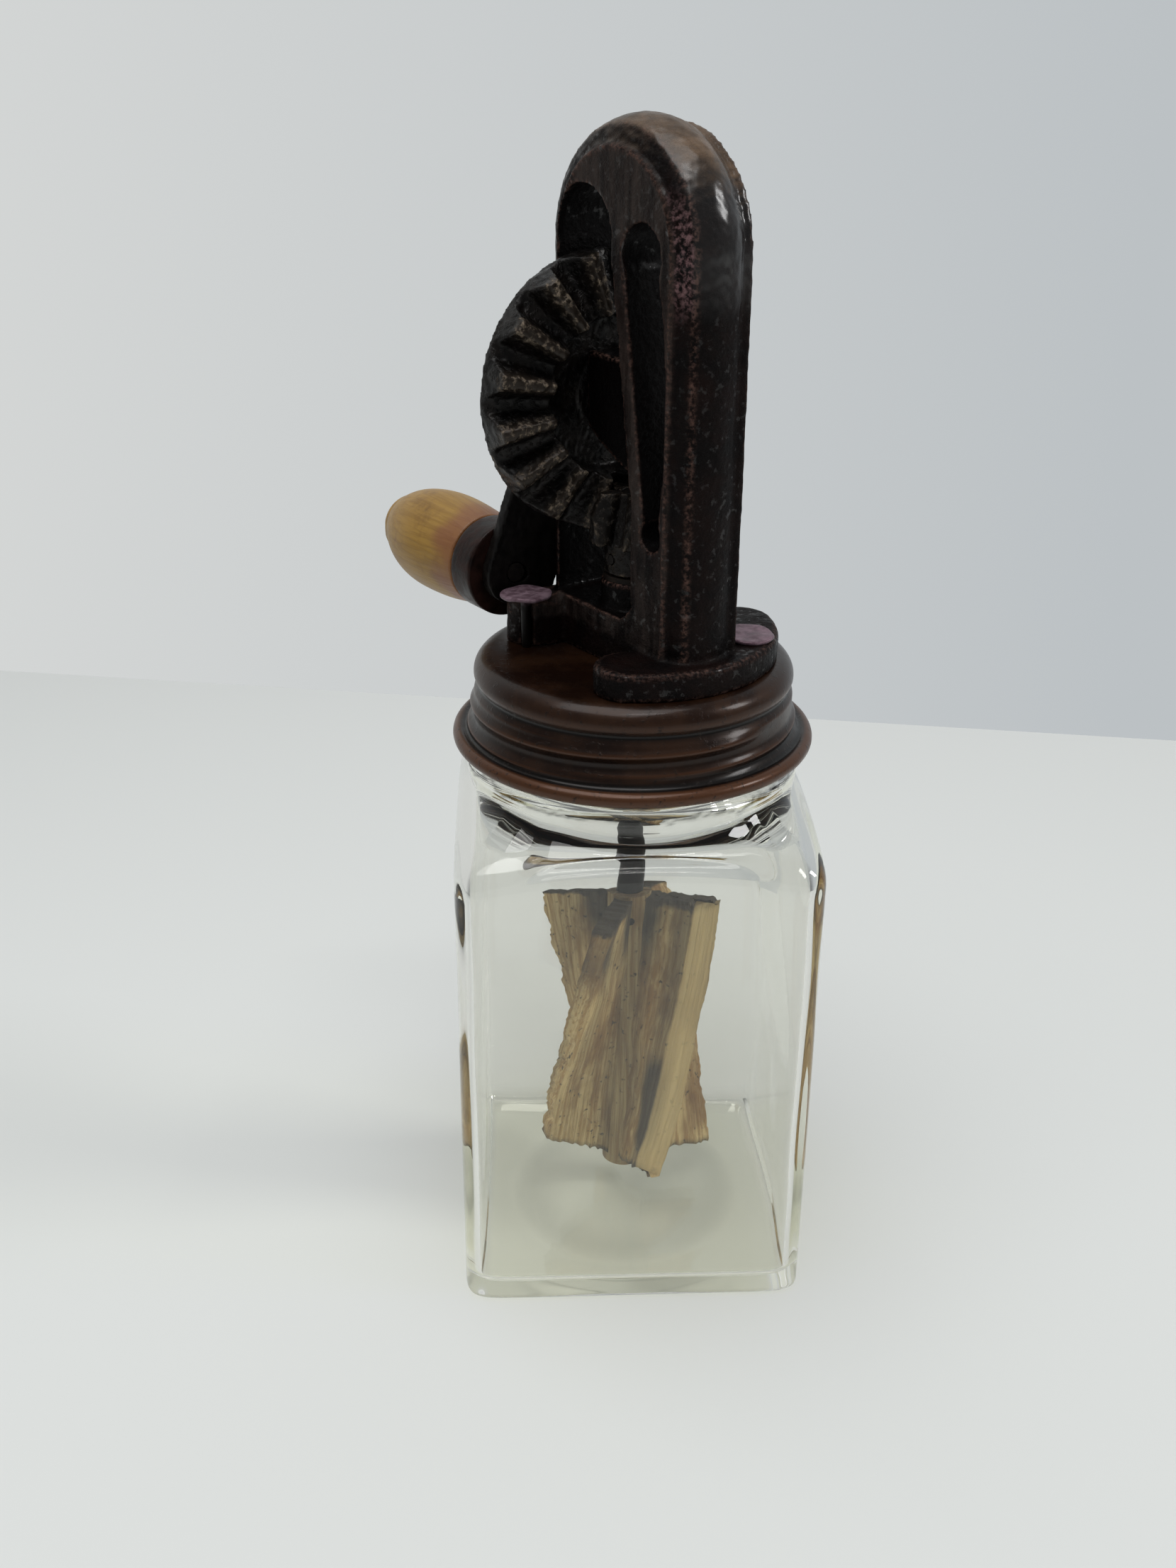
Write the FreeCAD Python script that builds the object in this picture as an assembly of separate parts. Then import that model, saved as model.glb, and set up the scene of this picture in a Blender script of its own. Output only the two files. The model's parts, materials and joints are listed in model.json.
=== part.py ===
import FreeCAD, Part
import math
import os

from FreeCAD import Vector

# A hand-cranked butter churn: a square glass jar, a screw lid, and on the lid a cast arch whose
# bevel gears turn four wooden paddle blades inside the jar.
# Lengths are in millimetres and angles in degrees. The origin is the middle of the jar's base, +Z is up
# and the jar's flat front faces -Y.

# Jar
jar_width = 71.3
jar_corner_radius = 7.0
jar_foot_radius = 3.0
jar_wall = 3.4
jar_floor = 4.4
pushup_radius = 26.0
pushup_height = 2.4
shoulder_height = 105.2
shoulder_dome_radius = 139.0
shoulder_edge_radius = 3.0
dish_height = 50.0
dish_width = 54.0
dish_depth = 1.8
dish_ball_reach = 10.8
dish_centre_height = 71.0
neck_inset = 5.95
neck_wall = 3.5
neck_height = 25.8
neck_ring_reach = 3.6
neck_ring_height = 7.4
neck_ring_rounding = 2.2
rim_rounding = 0.8

# Screw thread of the neck and the lid
thread_pitch = 4.2
thread_radius = 1.3
thread_sink = 0.9
thread_turns = 0.75
thread_clearance = 0.35
thread_top_drop = 6.4
thread_top_angle = -55.0
unscrew_turns = 1.0

# Seal and lid
seal_thickness = 1.2
seal_width = 2.5
seal_inset = 0.2
lid_sheet = 0.8
skirt_sheet = 0.9
skirt_gap = 1.0
rim_gap = 0.4
lid_edge_radius = 3.6
waist_depth = 0.7
waist_drop = 5.7
waist_taper = 1.0
skirt_top_drop = 7.2
skirt_bottom_drop = 12.8
curl_radius = 1.5
curl_reach = 2.9
curl_drop = 16.4

# Gear train
gear_teeth = 16
pinion_teeth = 5
gear_pitch_radius = 24.4
gear_rim_reach = 1.5
gear_tooth_length = 10.4
gear_rim_thickness = 1.8
gear_rim_step = 0.8
gear_web = 3.2
gear_hub_radius = 6.8
gear_hub_step = 0.45
pressure_angle = 28.0
profile_shift = 0.3
gear_addendum = 0.5
pinion_addendum = 0.9
root_clearance = 0.25
flank_clearance = 0.22
pinion_outer_radius = 9.0
pinion_top_inset = 1.3
pinion_overhang = 0.6
pinion_hub_radius = 6.0
pinion_hub_length = 5.9
axle_rise = 49.0
axle_radius = 2.5
shaft_radius = 2.8
running_clearance = 0.06
end_play = 0.25
cross_pin_radius = 0.9
gear_key_width = 1.6
gear_key_depth = 0.8

# Cast arch; it is turned about Z by frame_turn, with its own X along the axle towards the crank
frame_turn = 123.0
frame_thickness = 12.8
frame_near = 23.3
gear_leg_gap = 1.2
arch_height = 97.2
crown_height = 1.5
border_width = 4.0
border_rise = 2.1
lip_height = 0.8
lip_width = 1.3
band_width = 4.6
field_depth = 0.9
field_bottom = 7.0
far_leg_width = 2.8
base_bar_height = 10.0
window_crown = 10.4
window_corner = 3.0
bar_width = 3.6
bar_top_offset = -2.0
bar_bottom_offset = -9.5
bar_top_rise = 76.0
bar_bottom_rise = 30.0
slot_top_rise = 81.5
slot_tip_rise = 25.3
near_leg_width = 4.8
slot_end_inset = 1.4
block_above_axle = 8.3
block_below_axle = 5.4
block_gusset_drop = 13.4
block_thickness = 10.4
block_hole_end = -1.5
far_boss_radius = 6.6
far_boss_height = 0.6
collar_radius = 6.6
pinion_well_gap = 0.7
pinion_well_rise = 3.0
foot_inner_radius = 14.5
foot_overhang = 0.2
near_foot_height = 5.5
far_foot_height = 9.5
foot_edge_radius = 1.2
near_foot_start = 141.0
near_foot_end = 249.0
far_foot_start = -22.0
far_foot_end = 30.2

# Tacks and bushes
near_tack_angle = 216.5
near_tack_reach = 22.8
far_tack_proud = 0.8
tack_head_radius = 5.2
tack_head_thickness = 1.0
tack_shank_radius = 1.1
bush_wall = 1.7
bush_flange = 1.0
bush_flange_reach = 1.6

# Crank and knob
crank_lid_gap = 1.0
crank_foot_gap = 0.5
crank_angle = 22.0
crank_washer_radius = 6.0
crank_washer_thickness = 1.2
arm_thickness = 2.6
arm_axle_end_radius = 7.0
arm_knob_end_radius = 6.5
nut_across_flats = 8.0
nut_thickness = 3.4
axle_end_proud = 0.8
knob_pin_radius = 1.9
knob_pin_head_radius = 3.2
knob_pin_head_thickness = 1.2
knob_collar_radius = 9.5
knob_collar_length = 7.4
knob_collar_chamfer = 1.4
knob_length = 32.5
knob_base_radius = 9.4
knob_belly_radius = 10.6
knob_belly_distance = 10.0
knob_shoulder_radius = 8.7
knob_tip_radius = 5.6
knob_tip_rounding = 6.0

# Dasher
dasher_floor_gap = 5.2
dasher_height = 68.5
dasher_radius = 20.0
dasher_twist = 62.0
dasher_bottom_angle = -82.0
blade_count = 4
blade_thickness = 5.0
blade_end_rises = (7.0, 0.5, 4.0, 9.0)
blade_root_rise = 0.5
core_radius = 4.6
core_pin_inset = 6.0
shaft_end_inset = 2.0

# How far a cutting tool runs past the face that it cuts
past = 1.0

# Jar, seal and lid: what follows from the sizes above
neck_radius = jar_width / 2 - neck_inset
mouth_radius = neck_radius - neck_wall
neck_ring_radius = neck_radius + neck_ring_reach
neck_ring_top = shoulder_height + neck_ring_height
rim_height = shoulder_height + neck_height
seal_inner_radius = mouth_radius + seal_inset
seal_outer_radius = seal_inner_radius + seal_width
lid_under = rim_height + seal_thickness
lid_top = lid_under + lid_sheet
lid_inner_radius = neck_radius + skirt_gap
lid_skirt_radius = lid_inner_radius + skirt_sheet
lid_panel_radius = lid_skirt_radius - lid_edge_radius

# The screw's helix: where the glass thread ends, and how far the lid's groove runs
helix_radius = neck_radius + thread_radius - thread_sink
thread_top = rim_height - thread_top_drop
thread_bottom = thread_top - thread_pitch * thread_turns
groove_bottom = thread_bottom - thread_pitch * unscrew_turns
groove_top = thread_top + thread_clearance
groove_radius = thread_radius + thread_clearance

# Gear train: the axle and the shaft cross at the apex of both cones
axle_height = lid_top + axle_rise
axle_bore = axle_radius + running_clearance
shaft_bore = shaft_radius + running_clearance
gear_module = 2 * gear_pitch_radius / gear_teeth
pinion_pitch_radius = gear_pitch_radius * pinion_teeth / gear_teeth
gear_cone = math.atan2(gear_teeth, pinion_teeth)
pinion_cone = math.pi / 2 - gear_cone
flank_slope = math.tan(math.radians(pressure_angle))
gear_tip = gear_addendum * gear_module
gear_root = (pinion_addendum + root_clearance) * gear_module
pinion_tip = pinion_addendum * gear_module
pinion_root = (gear_addendum + root_clearance) * gear_module
gear_outer_radius = gear_pitch_radius + gear_rim_reach
gear_ring_inner_radius = gear_outer_radius - gear_tooth_length
gear_root_along = pinion_pitch_radius + gear_root * math.sin(gear_cone)
gear_root_radius = gear_pitch_radius - gear_root * math.cos(gear_cone)
gear_rim_back = gear_root_along * gear_outer_radius / gear_root_radius + gear_rim_thickness
gear_web_back = gear_rim_back - gear_rim_step
gear_web_front = gear_web_back - gear_web
gear_hub_start = gear_web_front - gear_hub_step
pinion_drop_top = gear_ring_inner_radius + pinion_top_inset
pinion_drop_bottom = gear_outer_radius + pinion_overhang
pinion_bottom = axle_height - pinion_drop_bottom - pinion_hub_length

# Cast arch, bushes and feet
block_reach = gear_hub_start - end_play
frame_far = gear_rim_back + gear_leg_gap + far_leg_width
far_inside = frame_far - far_leg_width - far_boss_height
far_face = frame_far + far_boss_height
gear_hub_end = far_inside - end_play
bush_top = pinion_bottom - end_play
collar_top = bush_top - bush_flange
foot_outer_radius = lid_panel_radius + foot_overhang
foot_middle_radius = (foot_inner_radius + foot_outer_radius) / 2
foot_cap_angle = math.degrees((foot_outer_radius - foot_inner_radius) / 2 / foot_middle_radius)

# Crank: the collar just clears the lid at the bottom of its turn
washer_start = far_face + end_play
arm_start = washer_start + crank_washer_thickness
arm_end = arm_start + arm_thickness
knob_collar_end = arm_end + knob_collar_length
knob_start = knob_collar_end + end_play
knob_end = knob_start + knob_length
crank_radius = axle_height - lid_top - crank_lid_gap - knob_collar_radius
crank_pin_y = crank_radius * math.sin(math.radians(crank_angle))
crank_pin_z = axle_height - crank_radius * math.cos(math.radians(crank_angle))

# Dasher
dasher_bottom = jar_floor + pushup_height + dasher_floor_gap
dasher_top = dasher_bottom + dasher_height

X = Vector(1, 0, 0)
Y = Vector(0, 1, 0)
Z = Vector(0, 0, 1)
ORIGIN = Vector(0, 0, 0)
BEND = math.sqrt(0.5)


def line(a, b):
    return Part.LineSegment(a, b).toShape()


def arc(a, middle, b):
    return Part.Arc(a, middle, b).toShape()


def face_of(edges):
    return Part.Face(Part.Wire(edges))


def polygon_edges(points):
    return [line(a, b) for a, b in zip(points, points[1:] + points[:1])]


def polar(radius, angle):
    return Vector(radius * math.cos(math.radians(angle)), radius * math.sin(math.radians(angle)), 0)


def rz(radius, z):
    """A point of a profile that is turned about Z."""
    return Vector(radius, 0, z)


def revolved(edges):
    return face_of(edges).revolve(ORIGIN, Z, 360)


def rod(radius, x0, x1, y=0.0, z=axle_height):
    """A cylinder along X, at the axle unless told otherwise."""
    return Part.makeCylinder(radius, x1 - x0, Vector(x0, y, z), X)


def upright(radius, z0, z1, x=0.0, y=0.0):
    """A cylinder along Z, at the shaft unless told otherwise."""
    return Part.makeCylinder(radius, z1 - z0, Vector(x, y, z0), Z)


def cross_pin(length, z):
    """A pin along Y through the shaft's axis."""
    return Part.makeCylinder(cross_pin_radius, length, Vector(0, -length / 2, z), Y)


def turned(shape):
    """Turn a piece of the arch from its own frame to its place on the lid."""
    shape.rotate(ORIGIN, Z, frame_turn)
    return shape


def pyramid_slice(near, far):
    """A solid with flat sides between two like polygons that lie on lines through one apex."""
    rings = [Part.Face(Part.makePolygon(ring + ring[:1])) for ring in (near, far)]
    sides = []
    for i, corner in enumerate(near):
        j = (i + 1) % len(near)
        sides.append(Part.Face(Part.makePolygon([corner, near[j], far[j], far[i], corner])))
    solid = Part.Solid(Part.Shell(rings + sides))
    if solid.Volume < 0:
        solid.reverse()
    return solid


def square_block(half, corner, z0, z1):
    """A square column with round corners."""
    straight = half - corner
    diagonal = straight + corner * BEND
    edges = []
    for quarter in range(4):
        turn = FreeCAD.Rotation(Z, 90 * quarter)
        start = turn.multVec(Vector(half, -straight, z0))
        end = turn.multVec(Vector(half, straight, z0))
        middle = turn.multVec(Vector(diagonal, diagonal, z0))
        after = turn.multVec(Vector(straight, half, z0))
        edges.append(line(start, end))
        edges.append(arc(end, middle, after))
    return face_of(edges).extrude(Vector(0, 0, z1 - z0))


def helix_tube(radius, z0, z1):
    """A round bar along the screw's helix between two heights."""
    path = Part.makeLongHelix(thread_pitch, z1 - z0, helix_radius)
    lead = math.atan2(thread_pitch, 2 * math.pi * helix_radius)
    tangent = Vector(0, math.cos(lead), math.sin(lead))
    ring = Part.Wire(Part.makeCircle(radius, Vector(helix_radius, 0, 0), tangent))
    tube = Part.Wire(path).makePipeShell([ring], True, True)
    tube.translate(Vector(0, 0, z0))
    tube.rotate(ORIGIN, Z, thread_top_angle - 360 * (thread_top - z0) / thread_pitch)
    return tube


# Jar
def shoulder_ball(inset):
    """The ball whose top is the jar's domed shoulder."""
    centre = shoulder_height - math.sqrt(shoulder_dome_radius**2 - (jar_width / 2) ** 2)
    return Part.makeSphere(shoulder_dome_radius - inset, Vector(0, 0, centre))


def jar_body():
    body = square_block(jar_width / 2, jar_corner_radius, 0, rim_height).common(shoulder_ball(0))
    shoulder = [e for e in body.Edges if e.BoundBox.ZMin > shoulder_height / 2]
    body = body.makeFillet(shoulder_edge_radius, shoulder)
    foot = [e for e in body.Edges if e.BoundBox.ZMax < shoulder_height / 2]
    return body.makeFillet(jar_foot_radius, foot)


def jar_cavity():
    half = jar_width / 2 - jar_wall
    corner = jar_corner_radius - jar_wall
    hollow = square_block(half, corner, jar_floor, rim_height).common(shoulder_ball(jar_wall))
    return hollow.fuse(upright(mouth_radius, shoulder_height - 2 * jar_wall, rim_height + past))


def base_cap(z, sink):
    """The push-up of the base: a low round cap on height z, with a plug that reaches down into it."""
    ball = (pushup_radius**2 + pushup_height**2) / (2 * pushup_height)
    cap = Part.makeSphere(ball, Vector(0, 0, z + pushup_height - ball))
    return cap.common(upright(pushup_radius + past, z - sink, z + pushup_height + past))


def side_dish(side):
    """The oval hollow in one side face: a ball stretched so that its cap has the dish's outline."""
    spread = 1 / math.sqrt(1 - (1 - dish_depth / dish_ball_reach) ** 2)
    stretch = FreeCAD.Matrix()
    stretch.scale(dish_ball_reach, dish_width / 2 * spread, dish_height / 2 * spread)
    oval = Part.makeSphere(1.0).transformGeometry(stretch)
    oval.translate(Vector(side * (jar_width / 2 - dish_depth + dish_ball_reach), 0, dish_centre_height))
    return oval


def jar_neck():
    """The ring under the lid and the neck with its rounded rim."""
    ring = neck_ring_rounding
    rim = rim_rounding
    points = [
        rz(0, shoulder_height - jar_wall),
        rz(neck_ring_radius, shoulder_height - jar_wall),
        rz(neck_ring_radius, neck_ring_top - ring),
        rz(neck_ring_radius - ring, neck_ring_top),
        rz(neck_radius, neck_ring_top),
        rz(neck_radius, rim_height - rim),
        rz(neck_radius - rim, rim_height),
        rz(0, rim_height),
    ]
    edges = polygon_edges(points)
    ring_middle = rz(neck_ring_radius - ring * (1 - BEND), neck_ring_top - ring * (1 - BEND))
    rim_middle = rz(neck_radius - rim * (1 - BEND), rim_height - rim * (1 - BEND))
    edges[2] = arc(points[2], ring_middle, points[3])
    edges[5] = arc(points[5], rim_middle, points[6])
    return revolved(edges)


def jar():
    glass = jar_body().fuse(jar_neck()).fuse(helix_tube(thread_radius, thread_bottom, thread_top))
    glass = glass.cut(jar_cavity()).cut(base_cap(0, past))
    glass = glass.cut(side_dish(1)).cut(side_dish(-1))
    return glass.fuse(base_cap(jar_floor, rim_rounding)).removeSplitter()


# Seal and lid
def lid_seal():
    ring = upright(seal_outer_radius, rim_height, lid_under)
    return ring.cut(upright(seal_inner_radius, rim_height, lid_under))


def lid_outside():
    """The lid as if it were full: panel, round edge, waist, skirt and curled rim."""
    panel_edge = rz(lid_panel_radius, lid_top)
    edge_bend = lid_edge_radius * (1 - BEND)
    edge_middle = rz(lid_skirt_radius - edge_bend, lid_top - edge_bend)
    edge_side = rz(lid_skirt_radius, lid_top - lid_edge_radius)
    edge_low = rz(lid_skirt_radius - waist_depth / 3, lid_top - (lid_edge_radius + waist_drop) / 2)
    waist = rz(lid_skirt_radius - waist_depth, lid_top - waist_drop)
    skirt_top = rz(lid_skirt_radius, lid_top - skirt_top_drop)
    skirt_bottom = rz(lid_skirt_radius, lid_top - skirt_bottom_drop)
    curl_x = lid_skirt_radius + curl_reach
    curl_z = lid_top - curl_drop
    curl_start = rz(curl_x - curl_radius * BEND, curl_z + curl_radius * BEND)
    curl_side = rz(curl_x + curl_radius, curl_z)
    curl_end = rz(curl_x, curl_z - curl_radius)
    flare = rz(
        skirt_bottom.x + (curl_start.x - skirt_bottom.x) / 3,
        curl_start.z + (skirt_bottom.z - curl_start.z) / 3,
    )
    return revolved(
        [
            line(rz(0, lid_top), panel_edge),
            arc(panel_edge, edge_middle, edge_side),
            arc(edge_side, edge_low, waist),
            line(waist, skirt_top),
            line(skirt_top, skirt_bottom),
            arc(skirt_bottom, flare, curl_start),
            arc(curl_start, curl_side, curl_end),
            line(curl_end, rz(0, curl_end.z)),
            line(rz(0, curl_end.z), rz(0, lid_top)),
        ]
    )


def lid_inside():
    """The space under the lid, open below."""
    rim_r = neck_radius + rim_gap
    waist_z = lid_top - waist_drop
    curl_z = lid_top - curl_drop
    mouth_r = lid_skirt_radius + curl_reach - curl_radius
    below = curl_z - 2 * curl_radius
    points = [
        rz(0, lid_under),
        rz(seal_outer_radius, lid_under),
        rz(rim_r, lid_under - lid_sheet),
        rz(rim_r, waist_z),
        rz(lid_inner_radius, waist_z - waist_taper),
        rz(lid_inner_radius, lid_top - skirt_bottom_drop - skirt_sheet),
        rz(mouth_r, curl_z),
        rz(mouth_r, below),
        rz(0, below),
    ]
    return revolved(polygon_edges(points))


def screw_lid():
    ridge = helix_tube(groove_radius + skirt_sheet - waist_depth / 3, groove_bottom, groove_top)
    lid = lid_outside().fuse(ridge).cut(lid_inside())
    lid = lid.cut(helix_tube(groove_radius, groove_bottom, groove_top))
    lid = lid.cut(upright(shaft_radius + rim_gap, lid_under - past, lid_top + past))
    for place in tack_places():
        lid = lid.cut(turned(upright(tack_shank_radius, lid_under, lid_top, place.x, place.y)))
    return lid


# Gears: every tooth flank is flat along lines through the point where the two axes cross
def gear_line(height):
    """Distance along the axle and radius of the teeth's outer end, at a height above the pitch line."""
    along = pinion_pitch_radius - height * math.sin(gear_cone)
    return along, gear_pitch_radius + height * math.cos(gear_cone)


def gear_gap(angle):
    """The space between two teeth, widest at the tips."""
    half_gap = gear_module * (math.pi / 4 + profile_shift * flank_slope) + flank_clearance
    above = gear_tip + gear_module / 2
    corners = []
    for height, side in ((above, 1), (-gear_root, 1), (-gear_root, -1), (above, -1)):
        along, radius = gear_line(height)
        corners.append((radius / along, side * (half_gap + height * flank_slope) / along))
    turn = FreeCAD.Rotation(X, angle)
    rings = []
    for depth in (past, gear_rim_back + past):
        rings.append([turn.multVec(Vector(depth, depth * t, -depth * r)) for r, t in corners])
    return pyramid_slice(*rings)


def drive_gear():
    tip_along, tip_radius = gear_line(gear_tip)
    tip_slope = tip_along / tip_radius
    ring = gear_ring_inner_radius
    profile = [
        (tip_slope * ring, ring),
        (tip_slope * gear_outer_radius, gear_outer_radius),
        (gear_rim_back, gear_outer_radius),
        (gear_rim_back, gear_pitch_radius - gear_tip),
        (gear_web_back, gear_pitch_radius - 2 * gear_tip),
        (gear_web_back, gear_hub_radius),
        (gear_hub_end, gear_hub_radius),
        (gear_hub_end, axle_radius),
        (gear_hub_start, axle_radius),
        (gear_hub_start, gear_hub_radius),
        (gear_web_front, gear_hub_radius),
        (gear_web_front, ring - gear_tip),
    ]
    gear = turned_along_x(profile, 0, 0)
    for tooth in range(gear_teeth):
        gear = gear.cut(gear_gap(360 * tooth / gear_teeth))
    gear.translate(Vector(0, 0, axle_height))
    return gear.cut(gear_key())


def gear_key():
    """A flat key, half in the axle and half in the gear's hub."""
    low = Vector(gear_hub_start, -gear_key_width / 2, axle_height + axle_radius - gear_key_depth)
    return Part.makeBox(gear_hub_end - gear_hub_start, gear_key_width, 2 * gear_key_depth, low)


def gear_axle():
    end = arm_end + nut_thickness + axle_end_proud
    return rod(axle_radius, block_hole_end + end_play, end).cut(gear_key())


def involute(angle):
    return math.tan(angle) - angle


def pinion_flank():
    """Radius slope and half angle of one flank's points, from root to tip."""
    virtual = pinion_pitch_radius / math.cos(pinion_cone)
    base = virtual * math.cos(math.radians(pressure_angle))
    teeth = pinion_teeth / math.cos(pinion_cone)
    half = (math.pi / 2 + 2 * profile_shift * flank_slope) / teeth - flank_clearance / virtual
    half_base = half + involute(math.radians(pressure_angle))
    reach = virtual + pinion_tip - base
    points = []
    for radius in [virtual - pinion_root] + [base + reach * k / 4 for k in range(5)]:
        half_here = half_base - involute(math.acos(min(1.0, base / radius)))
        drop = gear_pitch_radius - (radius - virtual) * math.sin(pinion_cone)
        points.append((radius * math.cos(pinion_cone) / drop, half_here / math.cos(pinion_cone)))
    return points


def pinion_star(drop):
    """The pinion's outline at a distance below the axle."""
    flank = pinion_flank()
    sides = [(slope, -half) for slope, half in flank] + flank[::-1]
    outline = []
    for tooth in range(pinion_teeth):
        for slope, half in sides:
            spot = polar(drop * slope, 360 * tooth / pinion_teeth + math.degrees(half))
            outline.append(spot + Vector(0, 0, axle_height - drop))
    return outline


def pinion():
    shoulder = axle_height - pinion_drop_bottom
    top = axle_height - pinion_drop_top
    teeth = pyramid_slice(pinion_star(pinion_drop_top), pinion_star(pinion_drop_bottom))
    teeth = teeth.common(upright(pinion_outer_radius, shoulder, top))
    body = teeth.fuse(upright(pinion_hub_radius, pinion_bottom, shoulder))
    return body.cut(upright(shaft_radius, pinion_bottom, top)).cut(pinion_pin_blank())


def pinion_pin_blank():
    return cross_pin(2 * pinion_hub_radius, pinion_bottom + pinion_hub_length / 2)


def pinion_pin():
    return pinion_pin_blank().common(upright(pinion_hub_radius, pinion_bottom, axle_height))


# Cast arch
def xz(x, z, y=0.0):
    return Vector(x, y, z)


def bar_edge(z):
    """The bar's edge towards the gear: a straight slanting line."""
    slope = (bar_top_offset - bar_bottom_offset) / (bar_top_rise - bar_bottom_rise)
    return bar_bottom_offset + slope * (z - lid_top - bar_bottom_rise)


def arch_outline(y, near_grow, far_grow):
    """The arch's outline at one depth, grown outwards on the near side and the top, and on the far side."""
    near = -frame_near - near_grow
    far = frame_far + far_grow
    radius = (far - near) / 2
    spring = lid_top + arch_height + near_grow - radius
    crown = xz((far + near) / 2, spring + radius, y)
    edges = [
        line(xz(near, lid_top, y), xz(near, spring, y)),
        arc(xz(near, spring, y), crown, xz(far, spring, y)),
        line(xz(far, spring, y), xz(far, lid_top, y)),
        line(xz(far, lid_top, y), xz(near, lid_top, y)),
    ]
    return Part.Wire(edges)


def arch_blank():
    """The arch without its openings: a crowned edge, a lip behind and a slope round the front face."""
    front = frame_thickness / 2
    back = lip_width - front
    edge = [
        arch_outline(front, 0, 0),
        arch_outline((front + back) / 2, crown_height, 0),
        arch_outline(back, -lip_height, 0),
    ]
    border = [edge[0], arch_outline(front + border_rise, -border_width, -border_width)]
    lip = Part.Face(arch_outline(back, 0, 0)).extrude(Vector(0, -lip_width, 0))
    return Part.makeLoft(edge, True, False).fuse(Part.makeLoft(border, True, True)).fuse(lip)


def through_slab(edges, thickness):
    shape = face_of(edges).extrude(Vector(0, thickness, 0))
    shape.translate(Vector(0, -thickness / 2, 0))
    return shape


def window():
    """The wide opening for the gear and the pinion."""
    far = frame_far - far_leg_width
    near = bar_bottom_offset
    bottom = lid_top + base_bar_height
    top = lid_top + bar_top_rise
    low = lid_top + bar_bottom_rise
    crown = xz((far + bar_top_offset) / 2, lid_top + arch_height - window_crown)
    edges = [
        line(xz(near + window_corner, bottom), xz(far, bottom)),
        line(xz(far, bottom), xz(far, top)),
        arc(xz(far, top), crown, xz(bar_top_offset, top)),
        line(xz(bar_top_offset, top), xz(near, low)),
        line(xz(near, low), xz(near, bottom + window_corner)),
        line(xz(near, bottom + window_corner), xz(near + window_corner, bottom)),
    ]
    return through_slab(edges, 2 * frame_thickness)


def slot():
    """The narrow opening between the near leg and the bar, pointed below."""
    low = lid_top + bar_bottom_rise
    high = lid_top + bar_top_rise - 2 * slot_end_inset
    left_low = bar_edge(low) - bar_width
    left_high = bar_edge(high) - bar_width
    right = -frame_near + near_leg_width
    right_low = right + slot_end_inset
    right_high = right + 2 * slot_end_inset
    tip = xz((left_low + right_low) / 2, lid_top + slot_tip_rise)
    top = xz((left_high + right_high) / 2, lid_top + slot_top_rise)
    edges = [
        line(xz(left_high, high), xz(left_low, low)),
        arc(xz(left_low, low), tip, xz(right_low, low)),
        arc(xz(right_low, low), xz(right, (low + high) / 2), xz(right_high, high)),
        arc(xz(right_high, high), top, xz(left_high, high)),
    ]
    return through_slab(edges, 2 * frame_thickness)


def sunk_field():
    """The sunk field of the arch's back, inside a raised band."""
    back = -frame_thickness / 2
    inside = Part.Face(arch_outline(back - past, -band_width, -band_width))
    inside = inside.extrude(Vector(0, past + field_depth, 0))
    corner = Vector(-2 * frame_near, back - frame_thickness / 2, lid_top)
    return inside.cut(Part.makeBox(4 * frame_near, frame_thickness, field_bottom, corner))


def bearing_block():
    """The block on the bar that carries the axle's inner end, with a curved gusset below."""
    top = axle_height + block_above_axle
    under = axle_height - block_below_axle
    gusset = axle_height - block_gusset_drop
    top_x = bar_edge(top) - bar_width / 2
    low_x = bar_edge(gusset) - bar_width / 2
    bend = xz((block_reach + low_x) / 2, gusset + (under - gusset) / 3)
    edges = [
        line(xz(low_x, gusset), xz(top_x, top)),
        line(xz(top_x, top), xz(block_reach, top)),
        line(xz(block_reach, top), xz(block_reach, under)),
        arc(xz(block_reach, under), bend, xz(low_x, gusset)),
    ]
    return through_slab(edges, block_thickness)


def foot_plate(start, end, height):
    """A curved foot along the lid's edge with round ends."""
    inner = foot_inner_radius
    outer = foot_outer_radius
    half = (start + end) / 2
    end_tip = polar(foot_middle_radius, end + foot_cap_angle)
    start_tip = polar(foot_middle_radius, start - foot_cap_angle)
    edges = [
        arc(polar(outer, start), polar(outer, half), polar(outer, end)),
        arc(polar(outer, end), end_tip, polar(inner, end)),
        arc(polar(inner, end), polar(inner, half), polar(inner, start)),
        arc(polar(inner, start), start_tip, polar(outer, start)),
    ]
    plate = face_of(edges).extrude(Vector(0, 0, height))
    rim = [e for e in plate.Edges if e.BoundBox.ZMin > height / 2]
    plate = plate.makeFillet(foot_edge_radius, rim)
    plate.translate(Vector(0, 0, lid_top))
    return plate


def far_foot():
    """The far foot, cut off straight beside the crank arm's path."""
    corner = Vector(arm_start - crank_foot_gap, -foot_outer_radius, lid_top)
    beyond = Part.makeBox(foot_outer_radius, 2 * foot_outer_radius, far_foot_height, corner)
    return foot_plate(far_foot_start, far_foot_end, far_foot_height).cut(beyond)


def tack_places():
    """One tack through the near foot, and one that stands proud at the very end of the far foot."""
    near = polar(near_tack_reach, near_tack_angle)
    return [near, polar(foot_middle_radius, far_foot_end + foot_cap_angle)]


def pinion_well():
    """Clear space round the pinion."""
    wide = pinion_outer_radius + pinion_well_gap
    cone_start = axle_height - pinion_drop_bottom + pinion_hub_length
    cone_end = axle_height - pinion_drop_top + pinion_well_rise
    points = [
        rz(0, collar_top),
        rz(wide, collar_top),
        rz(wide, cone_start),
        rz(pinion_hub_radius, cone_end),
        rz(0, cone_end),
    ]
    return revolved(polygon_edges(points))


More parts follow.
